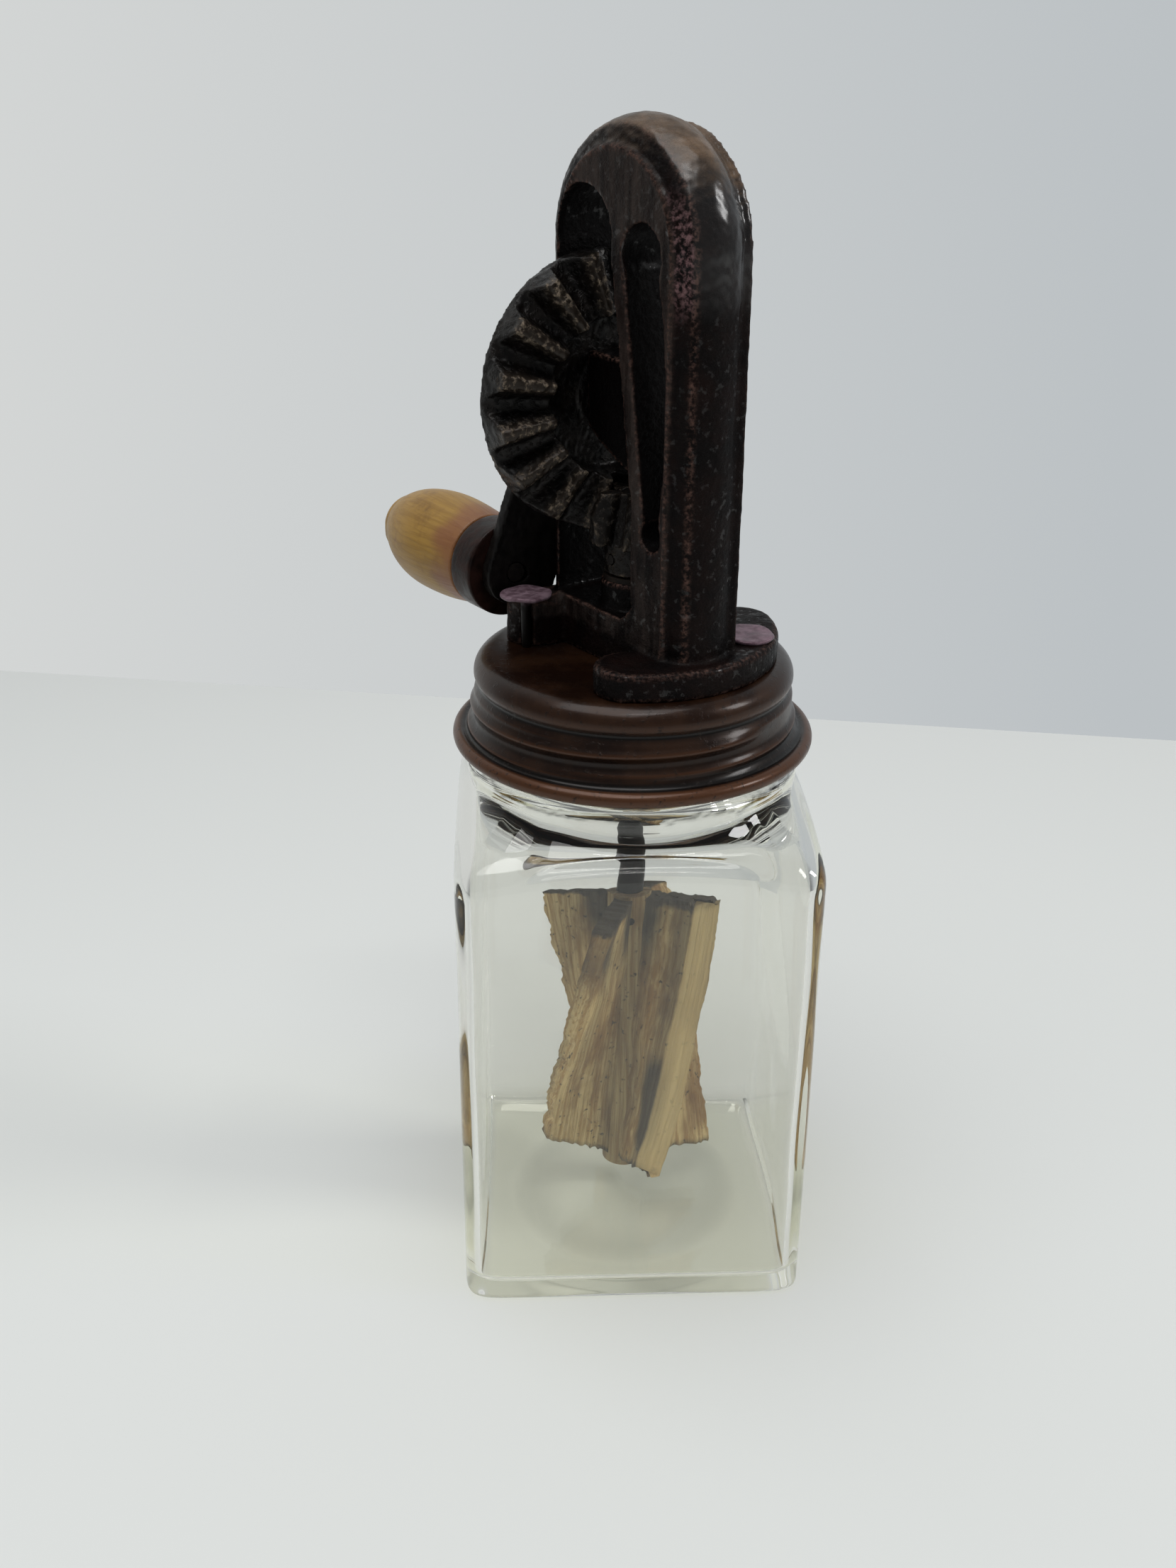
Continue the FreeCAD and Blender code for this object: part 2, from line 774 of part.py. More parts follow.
def arch_frame():
    cast = arch_blank().cut(sunk_field())
    cast = cast.cut(window()).cut(slot()).cut(pinion_well())
    cast = cast.fuse(bearing_block())
    cast = cast.fuse(rod(far_boss_radius, far_inside, far_face))
    cast = cast.fuse(upright(collar_radius, lid_top, collar_top))
    cast = cast.fuse(foot_plate(near_foot_start, near_foot_end, near_foot_height))
    cast = cast.fuse(far_foot())
    cast = cast.cut(rod(axle_bore, block_hole_end, block_reach + past))
    cast = cast.cut(rod(axle_bore + bush_wall, far_inside - past, far_face + past))
    cast = cast.cut(upright(shaft_bore + bush_wall, lid_top - past, bush_top))
    for place in tack_places():
        above = lid_top + far_foot_height + past
        cast = cast.cut(upright(tack_shank_radius, lid_top - past, above, place.x, place.y))
    return cast


def frame_tacks():
    seats = (lid_top + near_foot_height, lid_top + far_foot_height + far_tack_proud)
    tacks = []
    for place, seat in zip(tack_places(), seats):
        head = upright(tack_head_radius, seat, seat + tack_head_thickness, place.x, place.y)
        shank = upright(tack_shank_radius, lid_under, seat, place.x, place.y)
        tacks.append(head.fuse(shank).removeSplitter())
    return Part.makeCompound(tacks)


# Bushes
def shaft_bush():
    outer = shaft_bore + bush_wall
    flange = upright(outer + bush_flange_reach, collar_top, bush_top)
    bush = upright(outer, lid_top, bush_top).fuse(flange)
    return bush.cut(upright(shaft_bore, lid_top - past, bush_top + past)).removeSplitter()


def axle_bush():
    bush = rod(axle_bore + bush_wall, far_inside, far_face)
    return bush.cut(rod(axle_bore, far_inside - past, far_face + past))


# Crank
def crank_washer():
    return rod(crank_washer_radius, washer_start, arm_start).cut(rod(axle_radius, washer_start, arm_start))


def crank_arm():
    """A flat bar with two round ends, tapering from the axle to the knob."""
    lean = math.asin((arm_axle_end_radius - arm_knob_end_radius) / crank_radius)

    def spot(radius, angle, drop):
        side = Vector(0, math.cos(angle), math.sin(angle))
        return side * radius + Vector(arm_start, 0, -drop)

    sides = (math.pi + lean, -lean)
    top = [spot(arm_axle_end_radius, angle, 0) for angle in (sides[0], math.pi / 2, sides[1])]
    low = [spot(arm_knob_end_radius, angle, crank_radius) for angle in (sides[1], -math.pi / 2, sides[0])]
    edges = [arc(*top), line(top[2], low[0]), arc(*low), line(low[2], top[0])]
    arm = face_of(edges).extrude(Vector(arm_thickness, 0, 0))
    arm.rotate(ORIGIN, X, crank_angle)
    arm.translate(Vector(0, 0, axle_height))
    arm = arm.cut(rod(axle_radius, arm_start, arm_end))
    return arm.cut(rod(knob_pin_radius, arm_start, arm_end, crank_pin_y, crank_pin_z))


def axle_nut():
    corner = nut_across_flats / math.sqrt(3)
    spots = [polar(corner, 60 * k) for k in range(6)]
    ring = [Vector(arm_end, spot.x, spot.y + axle_height) for spot in spots]
    nut = Part.Face(Part.makePolygon(ring + ring[:1])).extrude(Vector(nut_thickness, 0, 0))
    return nut.cut(rod(axle_radius, arm_end, arm_end + nut_thickness))


def turned_along_x(points, y, z):
    """A solid turned about a line along X, from (distance, radius) points."""
    profile = [Vector(x, 0, radius) for x, radius in points]
    solid = face_of(polygon_edges(profile)).revolve(ORIGIN, X, 360)
    solid.translate(Vector(0, y, z))
    return solid


def knob_collar():
    profile = [
        (arm_end, knob_pin_radius),
        (arm_end, knob_collar_radius),
        (knob_collar_end - knob_collar_chamfer, knob_collar_radius),
        (knob_collar_end, knob_collar_radius - knob_collar_chamfer / 2),
        (knob_collar_end, knob_pin_radius),
    ]
    return turned_along_x(profile, crank_pin_y, crank_pin_z)


def wood_knob():
    """A turned knob: a belly near the collar, a taper and a round end with a sunk seat for the pin's head."""
    bore = knob_pin_radius + running_clearance
    seat = knob_pin_head_radius + end_play
    floor = knob_end - knob_pin_head_thickness - end_play
    outline = [
        xz(knob_start, knob_base_radius),
        xz(knob_start + knob_belly_distance, knob_belly_radius),
        xz(knob_end - knob_tip_rounding, knob_shoulder_radius),
        xz(knob_end, knob_tip_radius),
    ]
    side = Part.BSplineCurve()
    side.interpolate(outline)
    sunk_seat = [xz(knob_end, seat), xz(floor, seat), xz(floor, bore), xz(knob_start, bore)]
    inside = outline[-1:] + sunk_seat + outline[:1]
    edges = [side.toShape()] + [line(a, b) for a, b in zip(inside, inside[1:])]
    knob = face_of(edges).revolve(ORIGIN, X, 360)
    knob.translate(Vector(0, crank_pin_y, crank_pin_z))
    return knob


def knob_pin():
    pin = rod(knob_pin_radius, arm_start, knob_end, crank_pin_y, crank_pin_z)
    head_start = knob_end - knob_pin_head_thickness
    head = rod(knob_pin_head_radius, head_start, knob_end, crank_pin_y, crank_pin_z)
    return pin.fuse(head).removeSplitter()


# Dasher
def core_pin_blanks():
    heights = (dasher_bottom + core_pin_inset, dasher_top - core_pin_inset)
    return [cross_pin(2 * core_radius, z) for z in heights]


def dasher_shaft():
    shaft = upright(shaft_radius, dasher_bottom + shaft_end_inset, axle_height - pinion_drop_top)
    for pin in core_pin_blanks() + [turned(pinion_pin_blank())]:
        shaft = shaft.cut(pin)
    return shaft


def dasher_core():
    core = upright(core_radius, dasher_bottom, dasher_top)
    core = core.cut(upright(shaft_radius, dasher_bottom + shaft_end_inset, dasher_top))
    for pin in core_pin_blanks():
        core = core.cut(pin)
    return core


def dasher_pins():
    column = upright(core_radius, dasher_bottom, dasher_top)
    return Part.makeCompound([pin.common(column) for pin in core_pin_blanks()])


def broken_end(number):
    """What has broken off a blade's bottom: a wedge that rises towards the blade's edge."""
    reach = dasher_radius + past
    low = dasher_bottom - past
    root = xz(0, dasher_bottom + blade_root_rise, -blade_thickness)
    edge = xz(reach, dasher_bottom + blade_end_rises[number], -blade_thickness)
    corners = [xz(0, low, -blade_thickness), xz(reach, low, -blade_thickness), edge, root]
    wedge = face_of(polygon_edges(corners)).extrude(Vector(0, 2 * blade_thickness, 0))
    wedge.rotate(ORIGIN, Z, dasher_bottom_angle + 360 * number / blade_count)
    return wedge


def blade(number):
    """A board whose straight edges run skew, so that it narrows at the waist."""
    half = blade_thickness / 2
    corners = [(0, -half), (dasher_radius, -half), (dasher_radius, half), (0, half)]
    rings = []
    for z, twist in ((dasher_bottom, 0), (dasher_top, dasher_twist)):
        turn = FreeCAD.Rotation(Z, dasher_bottom_angle + 360 * number / blade_count + twist)
        points = [turn.multVec(Vector(x, y, 0)) + Vector(0, 0, z) for x, y in corners]
        rings.append(Part.makePolygon(points + points[:1]))
    board = Part.makeLoft(rings, True, True)
    board = board.cut(upright(core_radius, dasher_bottom - past, dasher_top + past))
    return board.cut(broken_end(number))


# Assembly: the pieces on the arch are made in its own frame and turned together
def build():
    pieces = {}
    for make in (jar, lid_seal, screw_lid, dasher_shaft, dasher_core, dasher_pins):
        pieces[make.__name__] = make()
    for number in range(blade_count):
        pieces["blade_%d" % (number + 1)] = blade(number)
    on_arch = (arch_frame, frame_tacks, shaft_bush, axle_bush)
    gears = (drive_gear, gear_key, gear_axle, pinion, pinion_pin)
    crank = (crank_washer, crank_arm, axle_nut, knob_collar, knob_pin, wood_knob)
    for make in on_arch + gears + crank:
        pieces[make.__name__] = turned(make())
    return pieces


os.makedirs("parts", exist_ok=True)
for node, shape in build().items():
    shape.exportStep("parts/%s.step" % node)
    print(node, len(shape.Solids), "solids, valid", shape.isValid(), "volume %.0f mm3" % shape.Volume)
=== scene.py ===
# %% [markdown]
# # A small hand-cranked butter churn
# A screw lid on a square glass jar carries a cast arch. In it a bevel gear, turned by a crank with
# a wooden knob, drives four twisted paddle blades inside the jar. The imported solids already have
# the right sizes, places and joints. This lesson dresses them: most pieces that show get a finer
# surface in the same place, and every piece gets a finish.

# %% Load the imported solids
import json
import math

import bmesh
import bpy
import numpy as np
from mathutils import Matrix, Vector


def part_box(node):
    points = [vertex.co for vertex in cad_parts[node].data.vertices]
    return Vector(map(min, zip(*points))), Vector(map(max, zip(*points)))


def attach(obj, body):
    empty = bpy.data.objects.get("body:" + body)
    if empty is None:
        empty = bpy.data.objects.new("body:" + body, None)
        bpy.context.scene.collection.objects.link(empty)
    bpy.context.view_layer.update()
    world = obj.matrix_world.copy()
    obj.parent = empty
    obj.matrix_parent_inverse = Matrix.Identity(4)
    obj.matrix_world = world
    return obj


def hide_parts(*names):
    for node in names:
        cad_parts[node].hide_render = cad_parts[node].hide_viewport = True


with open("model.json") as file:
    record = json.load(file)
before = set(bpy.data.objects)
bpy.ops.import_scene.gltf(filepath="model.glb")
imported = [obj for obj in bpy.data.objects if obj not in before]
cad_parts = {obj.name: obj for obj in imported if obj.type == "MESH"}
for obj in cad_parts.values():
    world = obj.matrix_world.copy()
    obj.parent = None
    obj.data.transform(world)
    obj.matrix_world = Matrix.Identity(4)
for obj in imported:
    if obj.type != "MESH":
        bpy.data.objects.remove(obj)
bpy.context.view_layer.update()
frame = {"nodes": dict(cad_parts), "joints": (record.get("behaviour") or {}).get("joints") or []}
nodes = frame["nodes"]
joints = {joint["name"]: joint for joint in frame["joints"]}
MM = 0.001

# %% [markdown]
# ## The arch's own directions
# The arch is turned about the upright axis, so its pieces are described along its own directions:
# along the axle towards the crank, out of its front face, and up. The crank's joint gives the
# first. Rows of numbers times this small table go from the arch's directions to the world's, and
# times its transpose back again.

# %% Directions and measures taken from the solids
UP = np.array((0.0, 0.0, 1.0))
AXLE = np.array(joints["crank_turn"]["axis"])
FACE = np.cross(UP, AXLE)
ARCH_WAYS = np.stack([AXLE, FACE, UP])
axle_height = joints["crank_turn"]["pos_m"][2] / MM


def points_of(mesh):
    """All points of a mesh, in millimetres, one row each."""
    flat = np.empty(3 * len(mesh.vertices), np.float32)
    mesh.vertices.foreach_get("co", flat)
    return flat.reshape(-1, 3).astype(float) / MM


def arch_span(node):
    """Lowest and highest corner of a node along the arch's own directions."""
    local = points_of(nodes[node].data) @ ARCH_WAYS.T
    return local.min(axis=0), local.max(axis=0)


def box_of(node):
    """Lowest and highest corner of a node's box, in millimetres."""
    return [np.array(corner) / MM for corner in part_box(node)]


jar_low, jar_high = box_of("jar")
lid_high = box_of("screw_lid")[1]
print("jar", (jar_high - jar_low).round(1), "lid top", lid_high[2].round(1))

# %% [markdown]
# ## From a grid of numbers to a mesh
# Each new piece is a surface over a grid: rows run along its profile and columns round it. Whole
# arrays are computed at once and handed to the mesh in one go. Points that meet are merged, and
# then the faces are turned outwards. Worn edges and dirty hollows are found by smoothing a copy of
# the points and asking how far each one stands out of it.

# %% Grid and mesh helpers
SAME_PLACE = 1e-7


def grid_faces(rows, columns, ring=False):
    """Corners of the faces between rows and columns. Columns go round; with ring, so do rows."""
    here = np.arange(rows * columns).reshape(rows, columns)
    right = np.roll(here, -1, axis=1)
    above, above_right = np.roll(here, -1, axis=0), np.roll(right, -1, axis=0)
    faces = np.stack([here, right, above_right, above], axis=-1)
    return (faces if ring else faces[:-1]).reshape(-1, 4)


def move_points(mesh, points):
    """Sets all points of a mesh from millimetres."""
    mesh.vertices.foreach_set("co", (points * MM).astype(np.float32).ravel())
    mesh.update()


def normals_of(mesh):
    """The normals at all points of a mesh, one row each."""
    flat = np.empty(3 * len(mesh.vertices), np.float32)
    mesh.vertex_normals.foreach_get("vector", flat)
    return flat.reshape(-1, 3)


def set_fields(mesh, fields):
    """Stores named numbers or vectors on a mesh's points, for a finish to read."""
    for name, values in fields.items():
        kind, key = ("FLOAT", "value") if values.ndim == 1 else ("FLOAT_VECTOR", "vector")
        layer = mesh.attributes.new(name, kind, "POINT")
        layer.data.foreach_set(key, values.astype(np.float32).ravel())


def close_up(mesh):
    """Merges points that share a place and turns the faces outwards."""
    work = bmesh.new()
    work.from_mesh(mesh)
    bmesh.ops.remove_doubles(work, verts=work.verts, dist=SAME_PLACE)
    bmesh.ops.recalc_face_normals(work, faces=work.faces)
    work.to_mesh(mesh)
    work.free()


def fill_mesh(name, points, faces, fields):
    """A closed mesh from whole arrays of millimetre points, four-cornered faces and fields."""
    mesh = bpy.data.meshes.new(name)
    mesh.vertices.add(len(points))
    move_points(mesh, points)
    mesh.loops.add(faces.size)
    mesh.loops.foreach_set("vertex_index", faces.astype(np.int32).ravel())
    mesh.polygons.add(len(faces))
    mesh.polygons.foreach_set("loop_start", np.arange(0, faces.size, 4, dtype=np.int32))
    mesh.update(calc_edges=True)
    set_fields(mesh, fields)
    close_up(mesh)
    return mesh


def grid_mesh(name, grid, fields=None, ring=False):
    """A closed mesh from a grid of points, rows by columns by 3, and fields on the same grid."""
    flat = {key: values.reshape(-1, *values.shape[2:]) for key, values in (fields or {}).items()}
    return fill_mesh(name, grid.reshape(-1, 3), grid_faces(*grid.shape[:2], ring=ring), flat)


def relaxed(mesh, points, shares):
    """Points moved by each share in turn towards the mean of their neighbours along the edges."""
    ends = np.empty(2 * len(mesh.edges), np.int32)
    mesh.edges.foreach_get("vertices", ends)
    here, there = ends, ends.reshape(-1, 2)[:, ::-1].ravel()
    count = np.bincount(here, minlength=len(points))[:, None]
    for share in shares:
        sums = [np.bincount(here, column[there], len(points)) for column in points.T]
        points = points + share * (np.stack(sums, axis=1) / count - points)
    return points


def bend_field(mesh, rounds, depth):
    """How far points stand out of a smoothed copy, as a share of a depth; below 0 in hollows."""
    points = points_of(mesh)
    calm = relaxed(mesh, points, [0.5] * rounds)
    return np.clip(np.einsum("ij,ij->i", points - calm, normals_of(mesh)) / depth, -1, 1)


def new_piece(name, data):
    """An object in the scene with a mesh, lamp or camera."""
    piece = bpy.data.objects.new(name, data)
    bpy.context.scene.collection.objects.link(piece)
    return piece


def show(name, mesh, body, stands_for, finish):
    """Makes a mesh a piece that moves with a body, stands for a solid and has a finish."""
    mesh.shade_smooth()
    mesh.materials.clear()
    mesh.materials.append(finish)
    piece = new_piece(name, mesh)
    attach(piece, body)
    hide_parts(stands_for)
    mesh.calc_loop_triangles()
    print(name, "has", len(mesh.loop_triangles), "triangles")


# %% [markdown]
# ## Profiles and uneven surfaces
# A turned piece is a profile of straight runs and arcs, carried round an axis. Old handmade
# surfaces are never quite even, so a smooth field, a few sine waves in seeded directions, moves
# their points a little.

# %% Profile and unevenness helpers
def run(start, end, count):
    """Even steps from one number, or (radius, height) point, to another."""
    return np.linspace(start, end, count)


def arc(centre, radius, start, end, count):
    """Points on an arc about a centre, between two angles in degrees; 0 is outwards, 90 is up."""
    angle = np.radians(np.linspace(start, end, count))
    way = np.stack([np.cos(angle), np.sin(angle)], axis=1)
    return np.array(centre) + radius * way


def joined(*parts):
    """One profile from runs and arcs in their order."""
    return np.concatenate(parts)


def turned(profile, columns):
    """A surface of revolution about the upright axis: x = r cos a, y = r sin a, z = height."""
    angle = np.linspace(0, 2 * np.pi, columns, endpoint=False)
    radius, height = profile[:, :1], profile[:, 1:]
    return np.stack([radius * np.cos(angle), radius * np.sin(angle), height + 0 * angle], axis=-1)


def along_axle(grid, centre):
    """Lays a turned surface along the axle: height goes along it, x out of the face and y up."""
    local = np.stack([grid[..., 2], grid[..., 0], grid[..., 1]], axis=-1)
    return local @ ARCH_WAYS + centre


def ripple(points, size, seed, waves=14):
    """A smooth uneven field: the sum of sine waves in seeded directions, each about size long."""
    draw = np.random.default_rng(seed)
    ways = draw.normal(size=(waves, points.shape[-1]))
    length = np.linalg.norm(ways, axis=1, keepdims=True) * size
    ways /= length * draw.uniform(0.7, 1.5, (waves, 1))
    phases = draw.uniform(0, 2 * np.pi, waves)
    return np.sin(2 * np.pi * points @ ways.T + phases).sum(axis=-1) / math.sqrt(waves / 2)


def from_axis(points):
    """Distance of points from the upright axis."""
    return np.hypot(points[..., 0], points[..., 1])


def bump(value, middle, width):
    """A bell curve: e to the power of minus the squared distance from the middle in widths."""
    return np.exp(-(((value - middle) / width) ** 2))


def fade(low, high, value):
    """A ramp from 0 at low to 1 at high with soft ends: t squared times 3 - 2 t."""
    t = np.clip((value - low) / (high - low), 0, 1)
    return t * t * (3 - 2 * t)


tried = ripple(np.random.default_rng(1).uniform(0, 99, (999, 3)), 9, 2)
print("spread of the uneven field:", tried.std().round(2))

# %% [markdown]
# ## Finishes
# Colours are written as the hex values that a colour picker shows, and one function turns them to
# linear light. Each finish is one Principled shader whose inputs come from patterns sized in
# millimetres, on the piece's own coordinates, or from fields stored on its points. Its colour is
# built like real paint: a ground, then coats, each where a pattern or a field says so.

# %% Finish helpers
def colour(code):
    """Linear light of an sRGB hex colour: a twelfth near black, and a power of 2.4 above."""
    value = np.array([int(code[i : i + 2], 16) for i in (1, 3, 5)]) / 255
    linear = np.where(value <= 0.04045, value / 12.92, ((value + 0.055) / 1.055) ** 2.4)
    return (*linear, 1.0)


def add(tree, kind, inputs=None, **settings):
    """Adds one node with its settings, and gives each input a value or a link from another node."""
    made = tree.nodes.new("ShaderNode" + kind)
    for name, value in settings.items():
        setattr(made, name, value)
    for name, value in (inputs or {}).items():
        if isinstance(value, bpy.types.NodeSocket):
            tree.links.new(value, made.inputs[name])
        else:
            made.inputs[name].default_value = value
    return made


def new_finish(name, sockets):
    """A material with one Principled shader; returns it with its tree and the shader."""
    finish = bpy.data.materials.new(name)
    finish.use_nodes = True
    tree = finish.node_tree
    tree.nodes.clear()
    shader = add(tree, "BsdfPrincipled", sockets)
    add(tree, "OutputMaterial", {"Surface": shader.outputs[0]})
    return finish, tree, shader


def link(tree, shader, **sockets):
    """Links sockets to the shader's inputs; a line in a keyword stands for a space."""
    for name, socket in sockets.items():
        tree.links.new(socket, shader.inputs[name.replace("_", " ")])


def field(tree, name, kind="Fac"):
    """A field that the piece's mesh stores on its points."""
    return add(tree, "Attribute", attribute_name=name).outputs[kind]


def maths(tree, operation, first, second):
    """Two numbers or sockets joined by an operation."""
    return add(tree, "Math", {0: first, 1: second}, operation=operation).outputs[0]


def ramp(tree, value, start, end, low=0.0, high=1.0):
    """A straight ramp from low, where the value is start, to high, where it is end."""
    ends = {"From Min": start, "From Max": end, "To Min": low, "To Max": high}
    return add(tree, "MapRange", {"Value": value, **ends}).outputs[0]


def layered(tree, ground, *coats):
    """A ground colour under coats: each coat is a factor and the colour, hex or socket, that it
    mixes in."""
    paint = colour(ground)
    for factor, code in coats:
        coat = colour(code) if isinstance(code, str) else code
        paint = add(tree, "Mix", {0: factor, 6: paint, 7: coat}, data_type="RGBA").outputs[2]
    return paint


def patches(tree, size, low, high, place=None, detail=4.0, stretch=(1, 1, 1)):
    """Soft patches from 0 to 1 of a size in millimetres: noise, cut off between low and high."""
    if place is None:
        place = add(tree, "TexCoord").outputs["Object"]
    laid = add(tree, "Mapping", {"Vector": place, "Scale": stretch}).outputs[0]
    grain = {"Scale": 1 / (size * MM), "Detail": detail, "Roughness": 0.6}
    noise = add(tree, "TexNoise", {"Vector": laid, **grain})
    cut = {"Value": noise.outputs[0], "From Min": low, "From Max": high}
    return add(tree, "MapRange", cut, interpolation_type="SMOOTHSTEP").outputs[0]


def relief(tree, shader, height, depth):
    """Bump of a depth in millimetres from a 0 to 1 height socket."""
    bumps = add(tree, "Bump", {"Height": height, "Strength": 1.0, "Distance": depth * MM})
    link(tree, shader, Normal=bumps.outputs[0])


print("an ink of #808080 is", round(float(colour("#808080")[0]), 3), "in linear light")

# %% [markdown]
# ### Pressed glass
# Old soda-lime glass is clear with a faint warm cast. Its waviness is in the mesh, so the finish
# stays plain, with a dark line of grime where the lid has rubbed the neck, and a fainter dark line
# at the foot that is a painted contact shadow. A path tracer can't aim light through curved glass,
# so rays that carry light to what lies behind it, and rays that have bounced many times, go
# straight on.

# %% Glass finish
GLASS_BEND = 1.5
DEEP_RAY = 4.5


def soda_glass():
    """Glass for the rays that draw it, and a clear pane for the rays that only carry light."""
    sockets = {"Roughness": 0.0, "IOR": GLASS_BEND, "Transmission Weight": 1.0}
    finish, tree, shader = new_finish("pressed_soda_glass", sockets)
    # This darker tint is dirt under the lid and, at the foot, a painted contact shadow.
    link(tree, shader, Base_Color=layered(tree, "#f6f6f2", (field(tree, "grime_and_shade"), "#1c1712")))
    path = add(tree, "LightPath").outputs
    soft = maths(tree, "MAXIMUM", path["Is Shadow Ray"], path["Is Diffuse Ray"])
    deep = maths(tree, "GREATER_THAN", path["Ray Depth"], DEEP_RAY)
    straight = maths(tree, "MAXIMUM", soft, deep)
    clear = add(tree, "BsdfTransparent", {"Color": colour("#fefefa")}).outputs[0]
    both = add(tree, "MixShader", {0: straight, 1: shader.outputs[0], 2: clear}).outputs[0]
    tree.links.new(both, tree.nodes["Material Output"].inputs["Surface"])
    return finish


glass = soda_glass()
print(glass.name)

# %% [markdown]
# ### Lacquered tin
# The lid is thin steel sheet with a brown bronze lacquer: part metal, part varnish, with dirt in
# the grooves, small specks, and coppery wear where hands touch the edges.

# %% Lid finish
def lacquered_tin():
    """Cloudy brown lacquer; the field edge says where it is dirty, below 0, or rubbed, above 0."""
    coat = {"Coat Weight": 0.25, "Coat Roughness": 0.16}
    sockets = {**coat, "Metallic": 0.3, "Specular IOR Level": 0.18}
    finish, tree, shader = new_finish("bronze_lacquered_tin", sockets)
    wear = field(tree, "edge")
    cloud = patches(tree, 9.0, 0.35, 0.7)
    speck = patches(tree, 1.1, 0.55, 0.75)
    dirt = ramp(tree, wear, 0.0, -0.6)
    rubbed = ramp(tree, wear, 0.25, 1.0)
    coats = (cloud, "#2c190c"), (dirt, "#0c0705"), (rubbed, "#4e311f"), (speck, "#1a0f08")
    paint = layered(tree, "#1a0c06", *coats)
    link(tree, shader, Base_Color=paint, Roughness=ramp(tree, cloud, 0, 1, 0.3, 0.45))
    relief(tree, shader, speck, 0.05)
    return finish


lid_finish = lacquered_tin()
print(lid_finish.name)

# %% [markdown]
# ### Painted cast iron
# The arch was cast in sand and dipped in dark brown enamel, nearly black, and rubbed off at the
# edges. The faces inside its openings are painted darker still, as painted shade. The front face
# has a dull film with streaks that run down, the slope round it has rubbed ridges on both sides,
# painted lighter also as a painted highlight, the top is dusty and still glossy, a pinkish crust
# sits high on the near side, and bright specks show all over.

# %% Arch finish
def brown_enamel():
    """Dark enamel with painted shade inside the openings, under film, wear that is partly a painted
    highlight, dust and crust, each where its field lies, and shiny specks.
    """
    sockets = {"Coat Roughness": 0.22, "Specular IOR Level": 0.06}
    finish, tree, shader = new_finish("brown_enamel_on_cast_iron", sockets)
    cloud = patches(tree, 7.0, 0.35, 0.7)
    streak = patches(tree, 3.0, 0.3, 0.8, stretch=(1, 1, 0.2))
    grit = patches(tree, 0.8, 0.4, 0.7)
    sparkle = patches(tree, 1.5, 0.57, 0.66)
    film = maths(tree, "MULTIPLY", field(tree, "front"), streak)
    # Rubbed edges and ridges: worn paint, and also a painted highlight along the edges.
    wear_and_painted_highlight = maths(tree, "MAXIMUM", ramp(tree, field(tree, "edge"), 0.3, 1.0), field(tree, "ridge"))
    wear_and_painted_highlight = maths(tree, "MULTIPLY", wear_and_painted_highlight, grit)
    dust = maths(tree, "MULTIPLY", field(tree, "top"), ramp(tree, cloud, 0, 1, 0.35, 1.0))
    crust = maths(tree, "MULTIPLY", field(tree, "crust"), grit)
    # Random darker tone, then painted shade: the faces inside the openings get the darkest colour.
    tone_and_painted_shade = (cloud, "#140a08"), (field(tree, "inner"), "#060404")
    coats = (film, "#3e3531"), (wear_and_painted_highlight, "#5e463e"), (dust, "#6b5745"), (crust, "#75595a")
    coat = maths(tree, "MAXIMUM", ramp(tree, sparkle, 0, 1, 0.03, 0.5), field(tree, "gloss"))
    link(tree, shader, Base_Color=layered(tree, "#070404", *tone_and_painted_shade, *coats), Coat_Weight=coat)
    link(tree, shader, Roughness=ramp(tree, streak, 0, 1, 0.4, 0.6))
    relief(tree, shader, grit, 0.1)
    return finish


arch_finish = brown_enamel()
print(arch_finish.name)

# %% [markdown]
# ### Bare cast iron
# The gears are the same iron without a full coat: black in the gaps, brown-grey where teeth rub,
# with bright grit there that is worn metal and also painted sparkle.

# %% Gear finish
def bare_iron():
    """Black iron, brown-grey where the field tip is high, with brighter grit there, partly painted
    sparkle.
    """
    sockets = {"Metallic": 0.4, "Specular IOR Level": 0.3}
    finish, tree, shader = new_finish("bare_cast_iron", sockets)
    tip = field(tree, "tip")
    grit = patches(tree, 1.1, 0.48, 0.72)
    cloud = patches(tree, 4.0, 0.35, 0.7)
    # Bright grit on the teeth: worn metal and painted sparkle.
    wear_and_painted_sparkle = maths(tree, "MULTIPLY", tip, grit)
    paint = layered(tree, "#0a0807", (cloud, "#16110e"), (tip, "#2b241e"), (wear_and_painted_sparkle, "#8a7b6a"))
    link(tree, shader, Base_Color=paint, Roughness=ramp(tree, grit, 0, 1, 0.35, 0.6))
    relief(tree, shader, grit, 0.12)
    return finish


gear_finish = bare_iron()
print(gear_finish.name)

# %% [markdown]
# ### Dark steel, thin paint and rubber
# Axle, shaft, pins and nut are dark steel, the crank arm and the collar thinly painted, the tacks
# dull mauve, and the seal aged rubber. They differ only in colour, metal and roughness, so one
# function makes them all.

# %% Finishes of the small pieces
def plain_finish(name, dark, light, metal, rough, size):
    """A finish that drifts between two colours and two roughnesses in patches of a size in
    millimetres, and is black where a mesh has the field soot."""
    finish, tree, shader = new_finish(name, {"Metallic": metal, "Specular IOR Level": 0.2})
    cloud = patches(tree, size, 0.3, 0.7)
    paint = layered(tree, dark, (cloud, light), (field(tree, "soot"), "#0d0908"))
    link(tree, shader, Base_Color=paint, Roughness=ramp(tree, cloud, 0, 1, *rough))
    relief(tree, shader, cloud, 0.04)
    return finish


